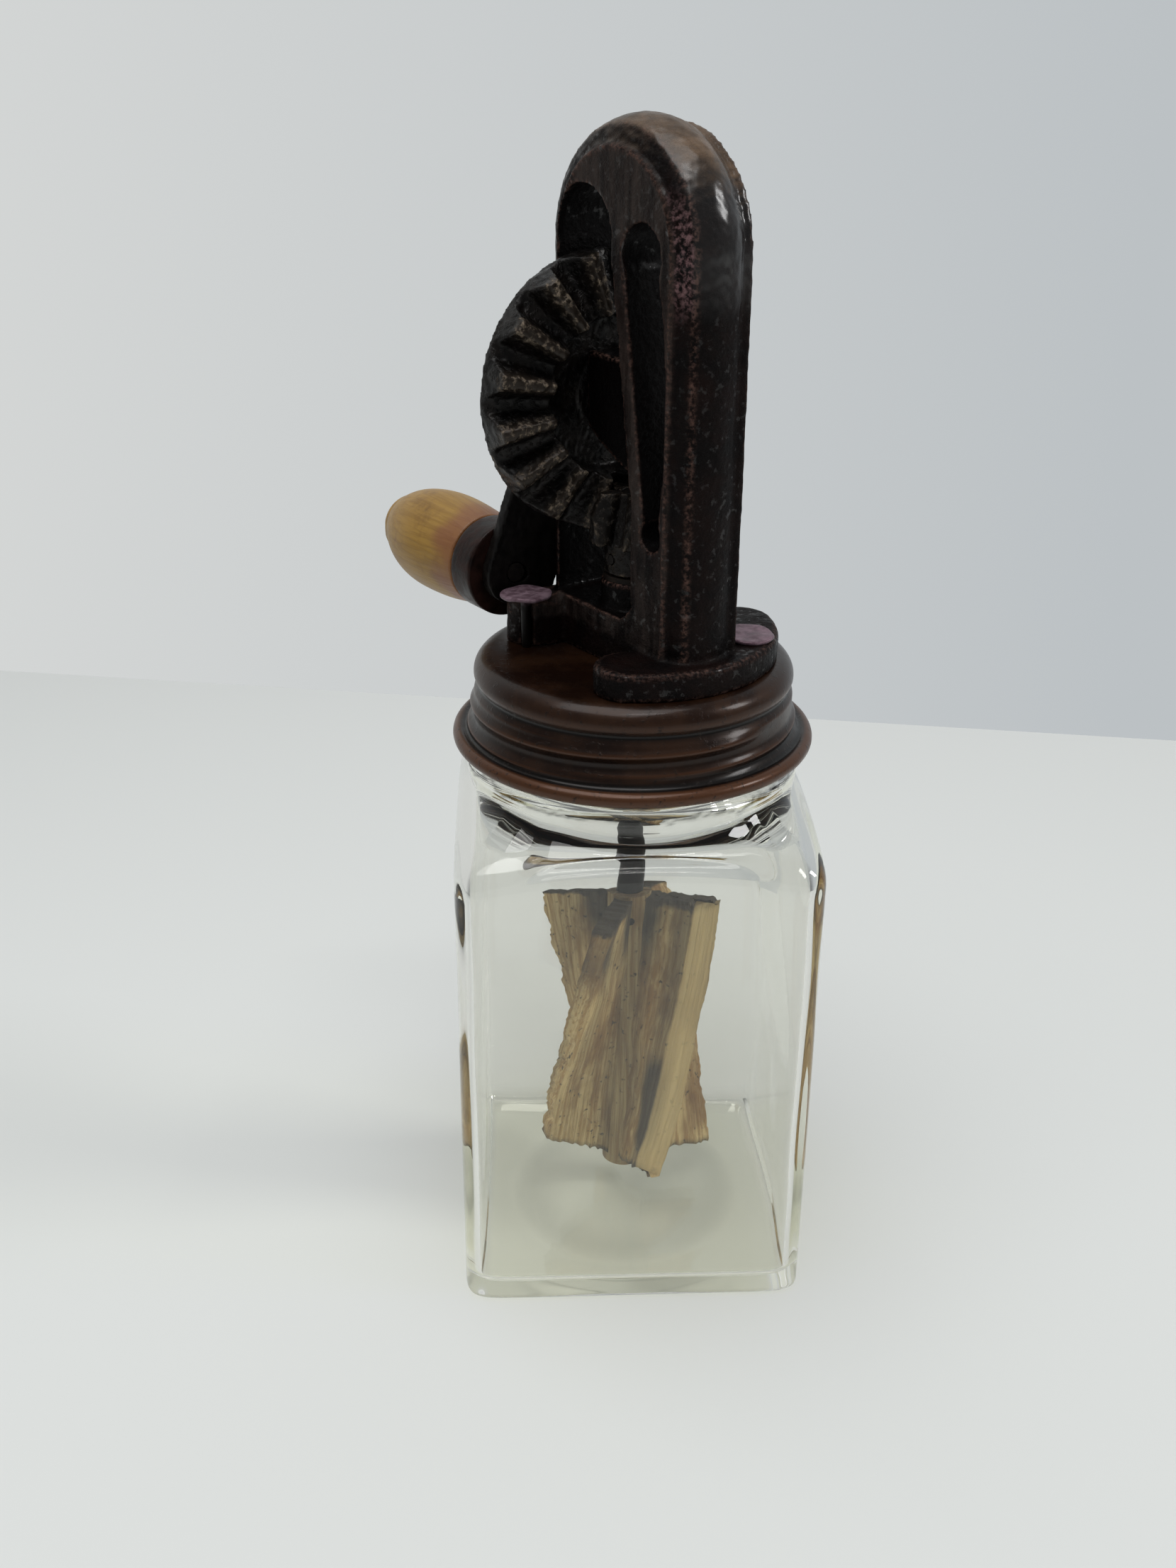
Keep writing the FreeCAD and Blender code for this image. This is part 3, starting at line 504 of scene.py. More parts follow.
steel_finish = plain_finish("darkened_steel", "#0d0b0a", "#221d1a", 0.15, (0.45, 0.65), 1.5)
bush_finish = plain_finish("dull_iron_bush", "#171310", "#2c231d", 0.5, (0.45, 0.65), 2.0)
arm_finish = plain_finish("black_paint_on_steel", "#080606", "#14100e", 0.1, (0.35, 0.55), 2.5)
collar_finish = plain_finish("brown_paint_on_steel", "#120806", "#2a1611", 0.1, (0.3, 0.5), 3.0)
tack_finish = plain_finish("mauve_paint_on_steel", "#57424b", "#86707a", 0.25, (0.35, 0.55), 1.8)
rubber_finish = plain_finish("aged_rubber", "#2c231d", "#4a3b31", 0.0, (0.7, 0.9), 2.0)
print("six plain finishes")

# %% [markdown]
# ### Wood
# The knob is hardwood under old yellow varnish, with fine grain along it and a reddish stain at the
# collar. The blades are bare boards, weathered by years of cream and water and darker at their wet
# lower ends, with one edge still pale. Painted shade darkens them towards the core, in the root's
# corner and at the top ends under the lid, and one face of some boards is darker. Each wooden mesh
# stores its own flat coordinates in a field named grain, so the grain follows a twisted board.

# %% Wood finishes
def grain_lines(tree, grain, width, length):
    """Grain lines of a width, drawn out to a length along the third direction."""
    stretch = (1, 1, width / length)
    return patches(tree, width, 0.38, 0.64, place=grain, detail=6.0, stretch=stretch)


def varnished_wood():
    """Yellow grain with soiled patches under varnish, red where the field stain lies."""
    coat = {"Coat Weight": 0.12, "Coat Roughness": 0.25}
    sockets = {**coat, "Roughness": 0.45, "Specular IOR Level": 0.3}
    finish, tree, shader = new_finish("varnished_hardwood", sockets)
    grain = field(tree, "grain", "Vector")
    lines = grain_lines(tree, grain, 1.2, 18.0)
    soil = patches(tree, 6.0, 0.5, 0.8, place=grain)
    coats = (lines, "#8c692a"), (soil, "#6f4e22"), (field(tree, "stain"), "#7c4b38")
    link(tree, shader, Base_Color=layered(tree, "#9b7733", *coats))
    relief(tree, shader, lines, 0.05)
    return finish


def weathered_wood():
    """Bare grain with brown clouds and specks, pale where the field fresh lies and dark where stain
    does; that field holds real stains and painted shade."""
    finish, tree, shader = new_finish("weathered_softwood", {"Roughness": 0.75})
    grain = field(tree, "grain", "Vector")
    lines = grain_lines(tree, grain, 0.7, 22.0)
    cloud = patches(tree, 9.0, 0.45, 0.7, place=grain, stretch=(1, 1, 0.4))
    speck = patches(tree, 1.3, 0.6, 0.7, place=grain)
    wood = (lines, "#b48f56"), (cloud, "#8d6736"), (speck, "#4f3f2a")
    coats = (field(tree, "fresh"), "#d9bf88"), (field(tree, "stain"), "#2c2923")
    link(tree, shader, Base_Color=layered(tree, "#e0c68f", *wood, *coats))
    relief(tree, shader, lines, 0.15)
    return finish


knob_finish = varnished_wood()
dasher_finish = weathered_wood()
print(knob_finish.name, dasher_finish.name)

# %% [markdown]
# ## The jar
# A pressed jar is square below and round above. Each level is drawn with rays from the middle,
# which run to the side of a square whose corners flow into its sides. Rows of rays from the base's
# middle, up the outside, over the rim, down the inside and back to the middle of the floor make one
# closed skin. Small waves on the inside give the glass its uneven thickness.

# %% Jar sizes and rays
half_width = jar_high[0]
rim_height = jar_high[2]
corner_radius = 5.5
foot_radius = 1.8
wall = 2.5
floor_height = 3.2
pushup_radius = 26.0
pushup_height = 2.4
shoulder_height = 105.2
dome_radius = 139.0
shoulder_round = 5.0
shoulder_crisp = 0.7
flare_reach = 7.0
flare_rise = 3.8
neck_radius = 29.7
mouth_radius = 26.2
ring_radius = 33.3
ring_top = 112.6
ring_round = 2.2
rim_round = 0.8
lip_round = 1.5
inner_round = 3.0
inner_corner = 4.0
band_gap = 0.6
wave_depth = 0.14
wave_size = 34.0
dish_half_width = 27.0
dish_half_height = 25.0
dish_depth = 1.8
dish_reach = 10.8
dish_height = 71.0
dish_softness = 0.25
thread_pitch = 4.2
thread_top = 124.6
thread_turns = 0.75
thread_top_angle = -55.0
thread_rise = 0.85
thread_half = 0.8
grime_height = 111.7
grime_half = 0.28
foot_shade_line = 0.8
dome_centre = shoulder_height - math.sqrt(dome_radius**2 - half_width**2)


def jar_angles(flat_steps, corner_steps):
    """Ray angles with even steps along each flat side and finer ones round each corner."""
    edge = math.atan2(half_width - corner_radius, half_width)
    flat = np.arctan(np.linspace(-1, 1, flat_steps, endpoint=False) * math.tan(edge))
    corner = np.linspace(edge, math.pi / 2 - edge, corner_steps, endpoint=False)
    quarter = np.concatenate([flat, corner])
    return np.concatenate([quarter + turn * math.pi / 2 for turn in range(4)])


rays = jar_angles(44, 14)
outward = np.stack([np.cos(rays), np.sin(rays)], axis=-1)
# The shoulder's edge is crisp over front and back, and rounder at the sides and corners.
crisp_share = fade(0.8, 0.92, np.abs(np.sin(rays)))
edge_bend = shoulder_round + (shoulder_crisp - shoulder_round) * crisp_share
print(len(rays), "rays round the jar")


# %% Rows of the jar
def square_reach(half, corner):
    """How far each ray runs in a rounded square: half over the n-th root of |cos|^n + |sin|^n, with
    the n whose diagonal is as long as round corners of that radius make it."""
    diagonal = (half - corner) * math.sqrt(2) + corner
    power = 1 / (0.5 - np.log2(diagonal / half))
    across, along = np.abs(np.cos(rays)), np.abs(np.sin(rays))
    return half / (across**power + along**power) ** (1 / power)


def circle(radius):
    """The same reach along every ray."""
    return radius + 0 * rays


def dome(reach, inset):
    """Height of the dome: its centre plus the root of its radius squared less the reach squared."""
    return dome_centre + np.sqrt((dome_radius - inset) ** 2 - reach**2)


def bent(t, first, middle, last):
    """A quadratic curve at shares t: three values with weights (1 - t)^2, 2 t (1 - t) and t^2."""
    return (1 - t) ** 2 * first + 2 * t * (1 - t) * middle + t**2 * last


def rings(radius_height):
    """Rows of circles from (radius, height) points."""
    radius, height = radius_height[:, :1], radius_height[:, 1:]
    return circle(radius), circle(height)


def between(first, second, share, height):
    """Rows that pass from one outline to another by shares, at heights found from the reach."""
    reach = first + (second - first) * share[:, None]
    return reach, height(reach)


def shoulder_edge(half, corner, inset, bend, count):
    """Rows round the shoulder's edge: a quadratic curve from the wall up to the dome."""
    t = run(0, 1, count)[:, None]
    reach = square_reach(half, corner) * (1 - bend * t * t / half)
    top = dome(reach[0], inset)
    return reach, bent(t, top - bend, top, dome(reach[-1], inset))


def wall_rows(half, corner, low, high, count):
    """Rows up a flat wall, a small gap away from a level below and a line of heights above."""
    share = run(0, 1, count)[:, None]
    start, end = low + band_gap, high - band_gap
    return square_reach(half, corner) + 0 * share, start + (end - start) * share


def foot_rows(half, corner, bend, level, count):
    """Rows round a lower edge: the outline grows by an angle's sine, the height by its cosine."""
    turn = run(0, np.pi / 2, count)[:, None]
    reach = square_reach(half, corner) * (1 - bend / half * (1 - np.sin(turn)))
    return reach, circle(level + bend * (1 - np.cos(turn)))


def cap_height(level):
    """Height of the push-up above a level, as a function of the reach: a low round cap."""
    return lambda reach: level + pushup_height * np.clip(1 - (reach / pushup_radius) ** 2, 0, 1)


def jar_outside():
    """Rows from the middle of the base up the outside to the top of the rim."""
    ground = square_reach(half_width, corner_radius) * (1 - foot_radius / half_width)
    edge = shoulder_edge(half_width, corner_radius, 0, edge_bend, 13)
    ring_start = float(dome(np.array(ring_radius), 0))
    cove = np.minimum(edge[0][-1], ring_radius + flare_reach)
    bend = ring_radius + 0.3 * (cove - ring_radius)
    t = run(0, 1, 14)[1:, None]
    hollow = (
        bent(t, cove, bend, ring_radius),
        bent(t, dome(cove, 0), ring_start + 0.5, ring_start + flare_rise),
    )
    neck = joined(
        arc((ring_radius - ring_round, ring_top - ring_round), ring_round, 0, 80, 9),
        run((neck_radius + 0.9, ring_top), (neck_radius, ring_top + 0.8), 4),
        run((neck_radius, ring_top + 1.2), (neck_radius, rim_height - rim_round - 0.3), 44),
        arc((neck_radius - rim_round, rim_height - rim_round), rim_round, 0, 90, 6),
    )
    middle = circle(pushup_radius)
    return [
        between(circle(0), middle, run(0, 1, 26), cap_height(0)),
        between(middle, ground, run(0.04, 0.96, 8), lambda reach: 0 * reach),
        foot_rows(half_width, corner_radius, foot_radius, 0, 8),
        wall_rows(half_width, corner_radius, foot_radius, edge[1][0], 96),
        edge,
        between(edge[0][-1], cove, run(0, 1, 10)[1:], lambda reach: dome(reach, 0)),
        hollow,
        rings(neck),
    ]


def jar_inside():
    """Rows from the top of the rim down the inside to the middle of the floor."""
    half = half_width - wall
    edge = shoulder_edge(half, inner_corner, wall, shoulder_round, 11)
    lip = float(dome(np.array(mouth_radius), wall))
    mouth = joined(
        arc((mouth_radius + rim_round, rim_height - rim_round), rim_round, 90, 180, 6),
        run((mouth_radius, rim_height - rim_round - 0.4), (mouth_radius, lip + 1.6), 20),
        arc((mouth_radius + lip_round, lip + lip_round), lip_round, 180, 255, 6),
    )
    foot = foot_rows(half, inner_corner, inner_round, floor_height, 13)
    sides = wall_rows(half, inner_corner, floor_height + inner_round, edge[1][0], 60)
    start, middle = circle(mouth[-1, 0] + 0.5), circle(pushup_radius)
    under_dome = run(0, 1, 14)[:-1]
    return [
        rings(mouth),
        between(start, edge[0][-1], under_dome, lambda reach: dome(reach, wall)),
        *((reach[::-1], height[::-1]) for reach, height in (edge, sides, foot)),
        between(foot[0][0], middle, run(0, 1, 7)[1:], cap_height(floor_height)),
        between(middle, circle(0), run(0, 1, 24)[1:], cap_height(floor_height)),
    ]


print(len(jar_outside()) + len(jar_inside()), "bands of rows")


# %% Jar surface
def pressed_dish(points):
    """Depth of the oval hollow in both sides: the cap of a stretched ball that dents the wall."""
    spread = 1 / math.sqrt(1 - (1 - dish_depth / dish_reach) ** 2)
    across = points[..., 1] / (dish_half_width * spread)
    upward = (points[..., 2] - dish_height) / (dish_half_height * spread)
    ball = np.sqrt(np.clip(1 - across**2 - upward**2, 0, 1))
    dent = dish_depth - dish_reach * (1 - ball)
    soft = dish_softness * np.logaddexp(0, dent / dish_softness)
    on_side = np.abs(points[..., 0]) > half_width - 1.0
    return np.where(on_side, soft * fade(0, 0.05, dent + 0.9), 0)


def inner_waves(points):
    """Waves of the inner side, calm at the mouth and near the floor."""
    calm = fade(mouth_radius + 0.2, mouth_radius + 4, from_axis(points))
    calm = calm * fade(floor_height + 1, floor_height + 12, points[..., 2])
    return wave_depth * ripple(points, wave_size, 5) * calm


def neck_thread(points):
    """How far the screw thread stands out of the neck: a bell curve across a falling helix."""
    turns = (thread_top_angle - np.degrees(rays) + 720) % 360 / 360
    ridge = bump(points[..., 2], thread_top - thread_pitch * turns, thread_half)
    ridge = thread_rise * ridge * fade(thread_turns, thread_turns - 0.06, turns)
    on_neck = np.abs(from_axis(points) - neck_radius) < 0.05
    return ridge * on_neck * (points[..., 2] > ring_top)


def grime_and_shade_lines(points):
    """Dirt under the lid, along a wavering level, and a fainter painted contact shadow at the foot.
    """
    level, height = points[..., :2], points[..., 2]
    dirt_line = grime_height + 0.35 * ripple(level, 9.0, 6) + 0.15 * ripple(level, 2.5, 7)
    # The line at the foot is a painted contact shadow, not dirt.
    return 0.9 * bump(height, dirt_line, grime_half) + 0.35 * bump(height, foot_shade_line, 0.8)


def jar_grid():
    """The points of the whole skin, and the grime and painted foot shadow on its outer side."""
    outside = jar_outside()
    bands = outside + jar_inside()
    outer_rows = sum(len(band[0]) for band in outside)
    reach, height = (np.concatenate([band[part] for band in bands]) for part in range(2))
    points = np.stack([reach * outward[:, 0], reach * outward[:, 1], height], axis=-1)
    outer, inner = points[:outer_rows], points[outer_rows:]
    outer[..., 0] -= np.sign(outer[..., 0]) * pressed_dish(outer)
    inner[..., :2] += inner_waves(inner)[..., None] * outward
    points[..., :2] += neck_thread(points)[..., None] * outward
    grime_and_shade = grime_and_shade_lines(points)
    grime_and_shade[outer_rows:] = 0
    return points, grime_and_shade


jar_points, jar_grime_and_shade = jar_grid()
jar_mesh = grid_mesh("churn_jar", jar_points, {"grime_and_shade": jar_grime_and_shade})
show("churn_jar", jar_mesh, "jar_body", "jar", glass)

# %% [markdown]
# ## The screw lid
# The lid is spun from sheet, so it is a profile carried round: the flat panel with its hole, a
# broad round edge, a waist, the skirt and the curled rim, then back up the inside. The thread was
# rolled into the skirt, so a ridge follows a helix round it and runs out at both ends.

# %% Lid surface
seal_thickness = 1.2
lid_sheet = 0.8
skirt_sheet = 0.9
lid_under = rim_height + seal_thickness
lid_top = lid_under + lid_sheet
skirt_radius = 31.6
edge_radius = 3.6
waist_depth = 0.7
waist_level = lid_top - 5.7
skirt_top = lid_top - 7.2
skirt_bottom = lid_top - 12.8
curl_radius = 1.5
curl_middle = (skirt_radius + 2.9, lid_top - 16.4)
hole_radius = 3.2
ridge_top = thread_top + 0.2
ridge_top_angle = -35.0
ridge_turns = 1.55
ridge_rise = 0.85
ridge_half = 1.05
panel_wave = 0.07


def lid_profile():
    """The lid's outer side from its hole to the curled rim, and its inner side from there back."""
    panel_edge = skirt_radius - edge_radius
    curl_level = curl_middle[1]
    waist, inner_skirt = skirt_radius - waist_depth, skirt_radius - skirt_sheet
    inner_waist = skirt_radius - 1.5
    outside = [
        run((hole_radius, lid_top - 0.2), (hole_radius + 0.2, lid_top), 2),
        run((hole_radius + 1, lid_top), (panel_edge - 0.4, lid_top), 26),
        arc((panel_edge, lid_top - edge_radius), edge_radius, 90, -6, 26),
        run((skirt_radius - 0.2, waist_level + 1.2), (waist, waist_level + 0.3), 5),
        run((waist, waist_level - 0.1), (skirt_radius - 0.05, skirt_top + 0.1), 6),
        run((skirt_radius, skirt_top - 0.2), (skirt_radius, skirt_bottom), 26),
        run((skirt_radius + 0.15, skirt_bottom - 0.7), (skirt_radius + 1.5, curl_level + 1.5), 7),
        arc(curl_middle, curl_radius, 125, -150, 20),
    ]
    inside = [
        run((skirt_radius + 1.0, curl_level - 0.3), (skirt_radius - 0.8, skirt_bottom - 0.6), 6),
        run((inner_skirt, skirt_bottom), (inner_skirt, skirt_top), 12),
        run((inner_waist, waist_level), (inner_waist, lid_under - 0.8), 5),
        run((skirt_radius - 2.7, lid_under), (hole_radius, lid_under), 16),
    ]
    return np.concatenate(outside), np.concatenate(inside)


def rolled_thread(angle, height):
    """How far the rolled ridge stands out: bell curves across both laps of a falling helix, which
    run out at its ends."""
    lift = 0
    for lap in range(2):
        turns = (ridge_top_angle - angle) % 360 / 360 + lap
        ends = fade(0, 0.08, turns) * fade(ridge_turns, ridge_turns - 0.1, turns)
        lift = lift + ridge_rise * bump(height, ridge_top - thread_pitch * turns, ridge_half) * ends
    on_skirt = fade(skirt_bottom - 2.5, skirt_bottom - 1.0, height)
    return lift * on_skirt * fade(waist_level + 0.6, waist_level - 0.6, height)


def lid_grid(columns):
    """The turned profile with the rolled thread, and a panel that isn't quite flat."""
    outside, inside = lid_profile()
    grid = turned(np.concatenate([outside, inside]), columns)
    angle = np.linspace(0, 360, columns, endpoint=False)
    way = np.stack([np.cos(np.radians(angle)), np.sin(np.radians(angle))], axis=-1)
    skirt = grid[: len(outside)]
    skirt[..., :2] += rolled_thread(angle, skirt[..., 2])[..., None] * way
    panel = fade(27.5, 20, from_axis(skirt))
    skirt[..., 2] += panel_wave * (ripple(skirt[..., :2], 24.0, 11) - 2) * panel
    return grid


lid_mesh = grid_mesh("tin_lid", lid_grid(320), ring=True)
set_fields(lid_mesh, {"edge": bend_field(lid_mesh, 24, 0.25)})
show("tin_lid", lid_mesh, "lid_body", "screw_lid", lid_finish)

# %% [markdown]
# ## Cast pieces
# Sand casting leaves soft edges and a pitted skin. Such a piece starts as a copy of its solid:
# loose triangles are merged, the shape is rebuilt on a fine cubic grid, and its points are
# smoothed, which rounds every edge. Two uneven fields give it waves and grit. How far a point
# stands out is kept for the wear.

# %% Cast surface
HOLD = (0.5, -0.52)
CAST_WAVE_SIZE = 9.0
CAST_GRIT_SIZE = 1.7
CASTS = {
    "arch_frame": dict(cell=0.47, rounds=1, wave=0.04, grit=0.022, seed=21),
    "drive_gear": dict(cell=0.4, rounds=1, wave=0.03, grit=0.05, seed=31),
    "pinion": dict(cell=0.3, rounds=1, wave=0.02, grit=0.04, seed=41),
    "crank_arm": dict(cell=0.35, rounds=2, wave=0.03, grit=0.03, seed=51),
}


def cast_mesh(node, cell, rounds, wave, grit, seed):
    """A rebuilt copy of a solid: cells of a size, rounds of smoothing that keep the size, waves and
    grit in mm. Returns the mesh, its points and how far each stands out."""
    mesh = nodes[node].data.copy()
    close_up(mesh)
    model = new_piece("model_of_" + node, mesh)
    rebuild = model.modifiers.new("rebuild", "REMESH")
    rebuild.mode = "VOXEL"
    rebuild.voxel_size = cell * MM
    scene_now = bpy.context.evaluated_depsgraph_get()
    made = bpy.data.meshes.new_from_object(model.evaluated_get(scene_now))
    bpy.data.objects.remove(model)
    bpy.data.meshes.remove(mesh)
    made.name = "cast_" + node
    points = relaxed(made, points_of(made), HOLD * rounds + (0.5,))
    move_points(made, points)
    edge = bend_field(made, 14, 0.3)
    bumps = wave * ripple(points, CAST_WAVE_SIZE, seed)
    bumps = bumps + grit * ripple(points, CAST_GRIT_SIZE, seed + 1, waves=24)
    raised = points + normals_of(made) * (bumps - wave - grit)[:, None]
    points = np.clip(raised, *box_of(node))
    move_points(made, points)
    return made, points, edge


print("cast pieces:", list(CASTS))

# %% Arch
front_level = 8.5
slope_level = 6.4
slope_width = 4.0
feet_top = 139.0
arch_near, arch_far, arch_top = -23.3, 17.97, 230.2
arch_radius = (arch_far - arch_near) / 2
arch_middle = (arch_far + arch_near) / 2
arch_spring = arch_top - arch_radius
ridge_height = 0.25


def arch_fields(mesh, points, edge):
    """Zones of the arch, from the reach from its middle line, the depth along its face's direction
    and the normals. Also raises the ridge round the face and sinks a groove beside it."""
    across, depth, height = (points @ ARCH_WAYS.T).T
    normals = normals_of(mesh)
    side, _, upward = (normals @ ARCH_WAYS.T).T
    rise = np.maximum(height - arch_spring, 0)
    reach = np.hypot(across - arch_middle, rise)
    out = (side * (across - arch_middle) + upward * rise) / reach
    above_feet = fade(feet_top - 0.5, feet_top + 0.5, height)
    rim = arch_radius - slope_width
    front = fade(front_level - 0.5, front_level - 0.25, depth) * above_feet
    slope = fade(slope_level - 0.2, slope_level + 0.3, depth) * (1 - front) * above_feet
    near_front = fade(front_level - 1.2, front_level - 0.6, depth)
    near_slope = fade(slope_level - 1.2, slope_level - 0.5, depth)
    # The ridges are painted lighter in the finish: wear and a painted highlight.
    ridge = bump(reach, rim, 0.5) * near_front * above_feet
    outer_ridge = bump(reach, arch_radius, 0.5) * near_slope * above_feet
    hollow = fade(front_level - 0.4, front_level - 1.0, depth)
    hollow = hollow * fade(rim - 0.3, rim - 1.2, reach)
    # Painted shade: faces that turn inwards, and the hollow beside the face, are painted darkest.
    inner = np.maximum(fade(-0.3, -0.7, out), hollow) * above_feet
    crust_span = fade(198, 206, height) * fade(222, 214, height)
    top = fade(0.35, 0.8, upward) * fade(arch_top - 20, arch_top - 8, height)
    top = top * (1 - inner)
    gloss = fade(0.4, 0.7, out) * fade(arch_top - 32, arch_top - 22, height)
    groove = bump(reach, rim + 1.2, 0.6) * slope
    move_points(mesh, points + normals * (ridge_height * (ridge - groove))[:, None])
    return {
        "edge": edge,
        "front": front,
        "crust": slope * crust_span * fade(-14, -18, across),
        "ridge": 0.8 * np.maximum(ridge, outer_ridge),
        "inner": inner,
        "top": top,
        "gloss": gloss * (1 - hollow) * (1 - 0.6 * top),
    }


arch_parts = cast_mesh("arch_frame", **CASTS["arch_frame"])
arch_mesh = arch_parts[0]
set_fields(arch_mesh, arch_fields(*arch_parts))
show("cast_arch", arch_mesh, "lid_body", "arch_frame", arch_finish)

# %% Gears and crank arm
ARM_BELLY = 3.6
TOOTH_SLOPE = 5 / 16
pin_place = np.array(joints["knob_spin"]["pos_m"]) / MM
pin_foot = pin_place - (pin_place @ AXLE) * AXLE


def arm_belly(points):
    """The arm's back edge bulges: points go outward across the arm, more the nearer they are to
    that edge."""
    along = pin_foot - axle_height * UP
    length = np.linalg.norm(along)
    across = np.cross(along / length, AXLE)
    place = points - axle_height * UP
    share = place @ along / length**2
    belly = fade(0.0, 5.0, place @ across)
    belly = belly * fade(0.05, 0.45, share) * fade(1.3, 1.0, share)
    return ARM_BELLY * belly[:, None] * across


gear_mesh, gear_points, _ = cast_mesh("drive_gear", **CASTS["drive_gear"])
gear_along, gear_out, gear_up = (gear_points @ ARCH_WAYS.T).T
gear_reach = np.hypot(gear_out, gear_up - axle_height)
gear_tip = fade(1.2, -1.2, gear_along - gear_reach * TOOTH_SLOPE)
set_fields(gear_mesh, {"tip": gear_tip * fade(12, 16, gear_reach)})
show("bevel_gear", gear_mesh, "crank_body", "drive_gear", gear_finish)

pinion_mesh, _, pinion_edge = cast_mesh("pinion", **CASTS["pinion"])
set_fields(pinion_mesh, {"tip": np.clip(pinion_edge, 0, 1)})
show("bevel_pinion", pinion_mesh, "dasher_body", "pinion", gear_finish)

arm_mesh, arm_points, _ = cast_mesh("crank_arm", **CASTS["crank_arm"])
move_points(arm_mesh, arm_points + arm_belly(arm_points))
show("flat_crank_arm", arm_mesh, "crank_body", "crank_arm", arm_finish)

# %% [markdown]
# ## Tacks
# Two broad tacks hold the feet down: a thin head with a round edge over a short, sooty shank. The
# head of a struck tack isn't flat, so it dips and leans a little.

# %% Tack surfaces
head_thickness = 1.0
shank_radius = 1.1
head_round = 0.42


def tack_grid(low, high, lean, seed):
    """A head and a shank turned about an upright axis between two corners; the head leans."""
    centre = (low + high)[:2] / 2
    head_radius = (high - low)[0] / 2 - 0.05
    tip = low[2]
    top = high[2] - 0.15
    under = high[2] - head_thickness
    profile = joined(
        run((0, top - 0.25), (head_radius - 1.2, top - 0.05), 10),
        arc((head_radius - 0.45, (top + under) / 2), head_round, 80, -80, 9),
        run((head_radius - 1.2, under + 0.02), (shank_radius + 0.3, under), 6),
        run((shank_radius, under - 0.3), (shank_radius * 0.8, tip), 8),
        run((shank_radius * 0.5, tip), (0, tip), 3),
    )
    grid = turned(profile, 48)
    grid[..., 2] += 0.1 * ripple(grid[..., :2], 5.0, seed) * (grid[..., 2] > under - 0.2)
    squeeze = 1 + 0.03 * ripple(grid[..., :2], 7.0, seed + 1)
    grid[..., :2] *= np.minimum(squeeze, 1)[..., None]
    grid[..., 2] += (grid[..., :2] @ np.array(lean)) * (grid[..., 2] > under - 0.2)
    grid[..., :2] += centre
    return grid


def tack_mesh():
    """Both tacks in one mesh: the far one, then the near one."""
    solid = points_of(nodes["frame_tacks"].data)
    points, faces, soot = [], [], []
    for side, lean, seed in ((1, (0.03, -0.02), 61), (-1, (-0.02, 0.02), 63)):
        mine = solid[np.sign(solid @ AXLE) == side]
        grid = tack_grid(mine.min(axis=0), mine.max(axis=0), lean, seed)
        faces.append(grid_faces(*grid.shape[:2]) + sum(len(rows) for rows in points))
        points.append(grid.reshape(-1, 3))
        soot.append(fade(1.2, 2.2, grid[..., 2].max() - grid[..., 2]).ravel())
    fields = {"soot": np.concatenate(soot)}
    return fill_mesh("broad_tacks", np.concatenate(points), np.concatenate(faces), fields)


show("broad_tacks", tack_mesh(), "lid_body", "frame_tacks", tack_finish)

# %% [markdown]
# ## Knob and collar
# Both are turned about the knob's pin, along the axle's direction. The knob swells near the collar,
# tapers and ends in a round tip with a seat for the pin's head.

# %% Knob and collar surfaces
knob_start, knob_end = (corner[0] for corner in arch_span("wood_knob"))
collar_start, collar_end = (corner[0] for corner in arch_span("knob_collar"))
collar_radius = 9.5
pin_radius = 1.9
seat_radius = 3.5
seat_depth = 1.45
tip_length = 2.2
tip_round = 1.6
base_round = 0.5
KNOB_STATIONS = (0.0, 10.0, 26.5, 32.5)
KNOB_RADII = (9.4, 10.6, 8.7, 5.6)


def knob_profile():
    """A cubic through base, belly, shoulder and tip, with a rounded tip and a sunk seat."""
    swell = np.polyfit(KNOB_STATIONS, KNOB_RADII, 3)
    t = np.linspace(base_round, knob_end - knob_start - tip_length, 46)
    side = np.stack([np.polyval(swell, t), knob_start + t], axis=1)
    turn = np.linspace(0, np.pi / 2, 10)[1:]
    sine, cosine = np.sin(turn), np.cos(turn)
    tip_radius = side[-1, 0] - tip_round + tip_round * cosine
    tip = np.stack([tip_radius, knob_end - tip_length + tip_length * sine], axis=1)
    base_radius = side[0, 0] - base_round * (1 - sine)
    base = np.stack([base_radius, knob_start + base_round * (1 - cosine)], axis=1)
    bore, seat_floor = pin_radius + 0.1, knob_end - seat_depth
    return joined(
        run((bore, knob_start), (base[0, 0] - 0.1, knob_start), 8),
        base,
        side[1:],
        tip,
        run((tip[-1, 0] - 0.4, knob_end), (seat_radius + 0.2, knob_end), 5),
        run((seat_radius, knob_end - 0.2), (seat_radius, seat_floor + 0.05), 4),
        run((seat_radius - 0.2, seat_floor), (bore, seat_floor), 4),
    )


def collar_profile():
    """A short drum with one small and one larger round edge."""
    radius = collar_radius
    return joined(
        run((pin_radius, collar_start), (radius - 0.5, collar_start), 6),
        arc((radius - 0.4, collar_start + 0.4), 0.4, -90, 0, 5),
        run((radius, collar_start + 1), (radius, collar_end - 1.8), 6),
        arc((radius - 0.9, collar_end - 1.2), 0.9, 0, 60, 6),
        run((radius - 0.7, collar_end - 0.15), (radius - 1.0, collar_end), 3),
        run((radius - 1.4, collar_end), (pin_radius, collar_end), 5),
    )


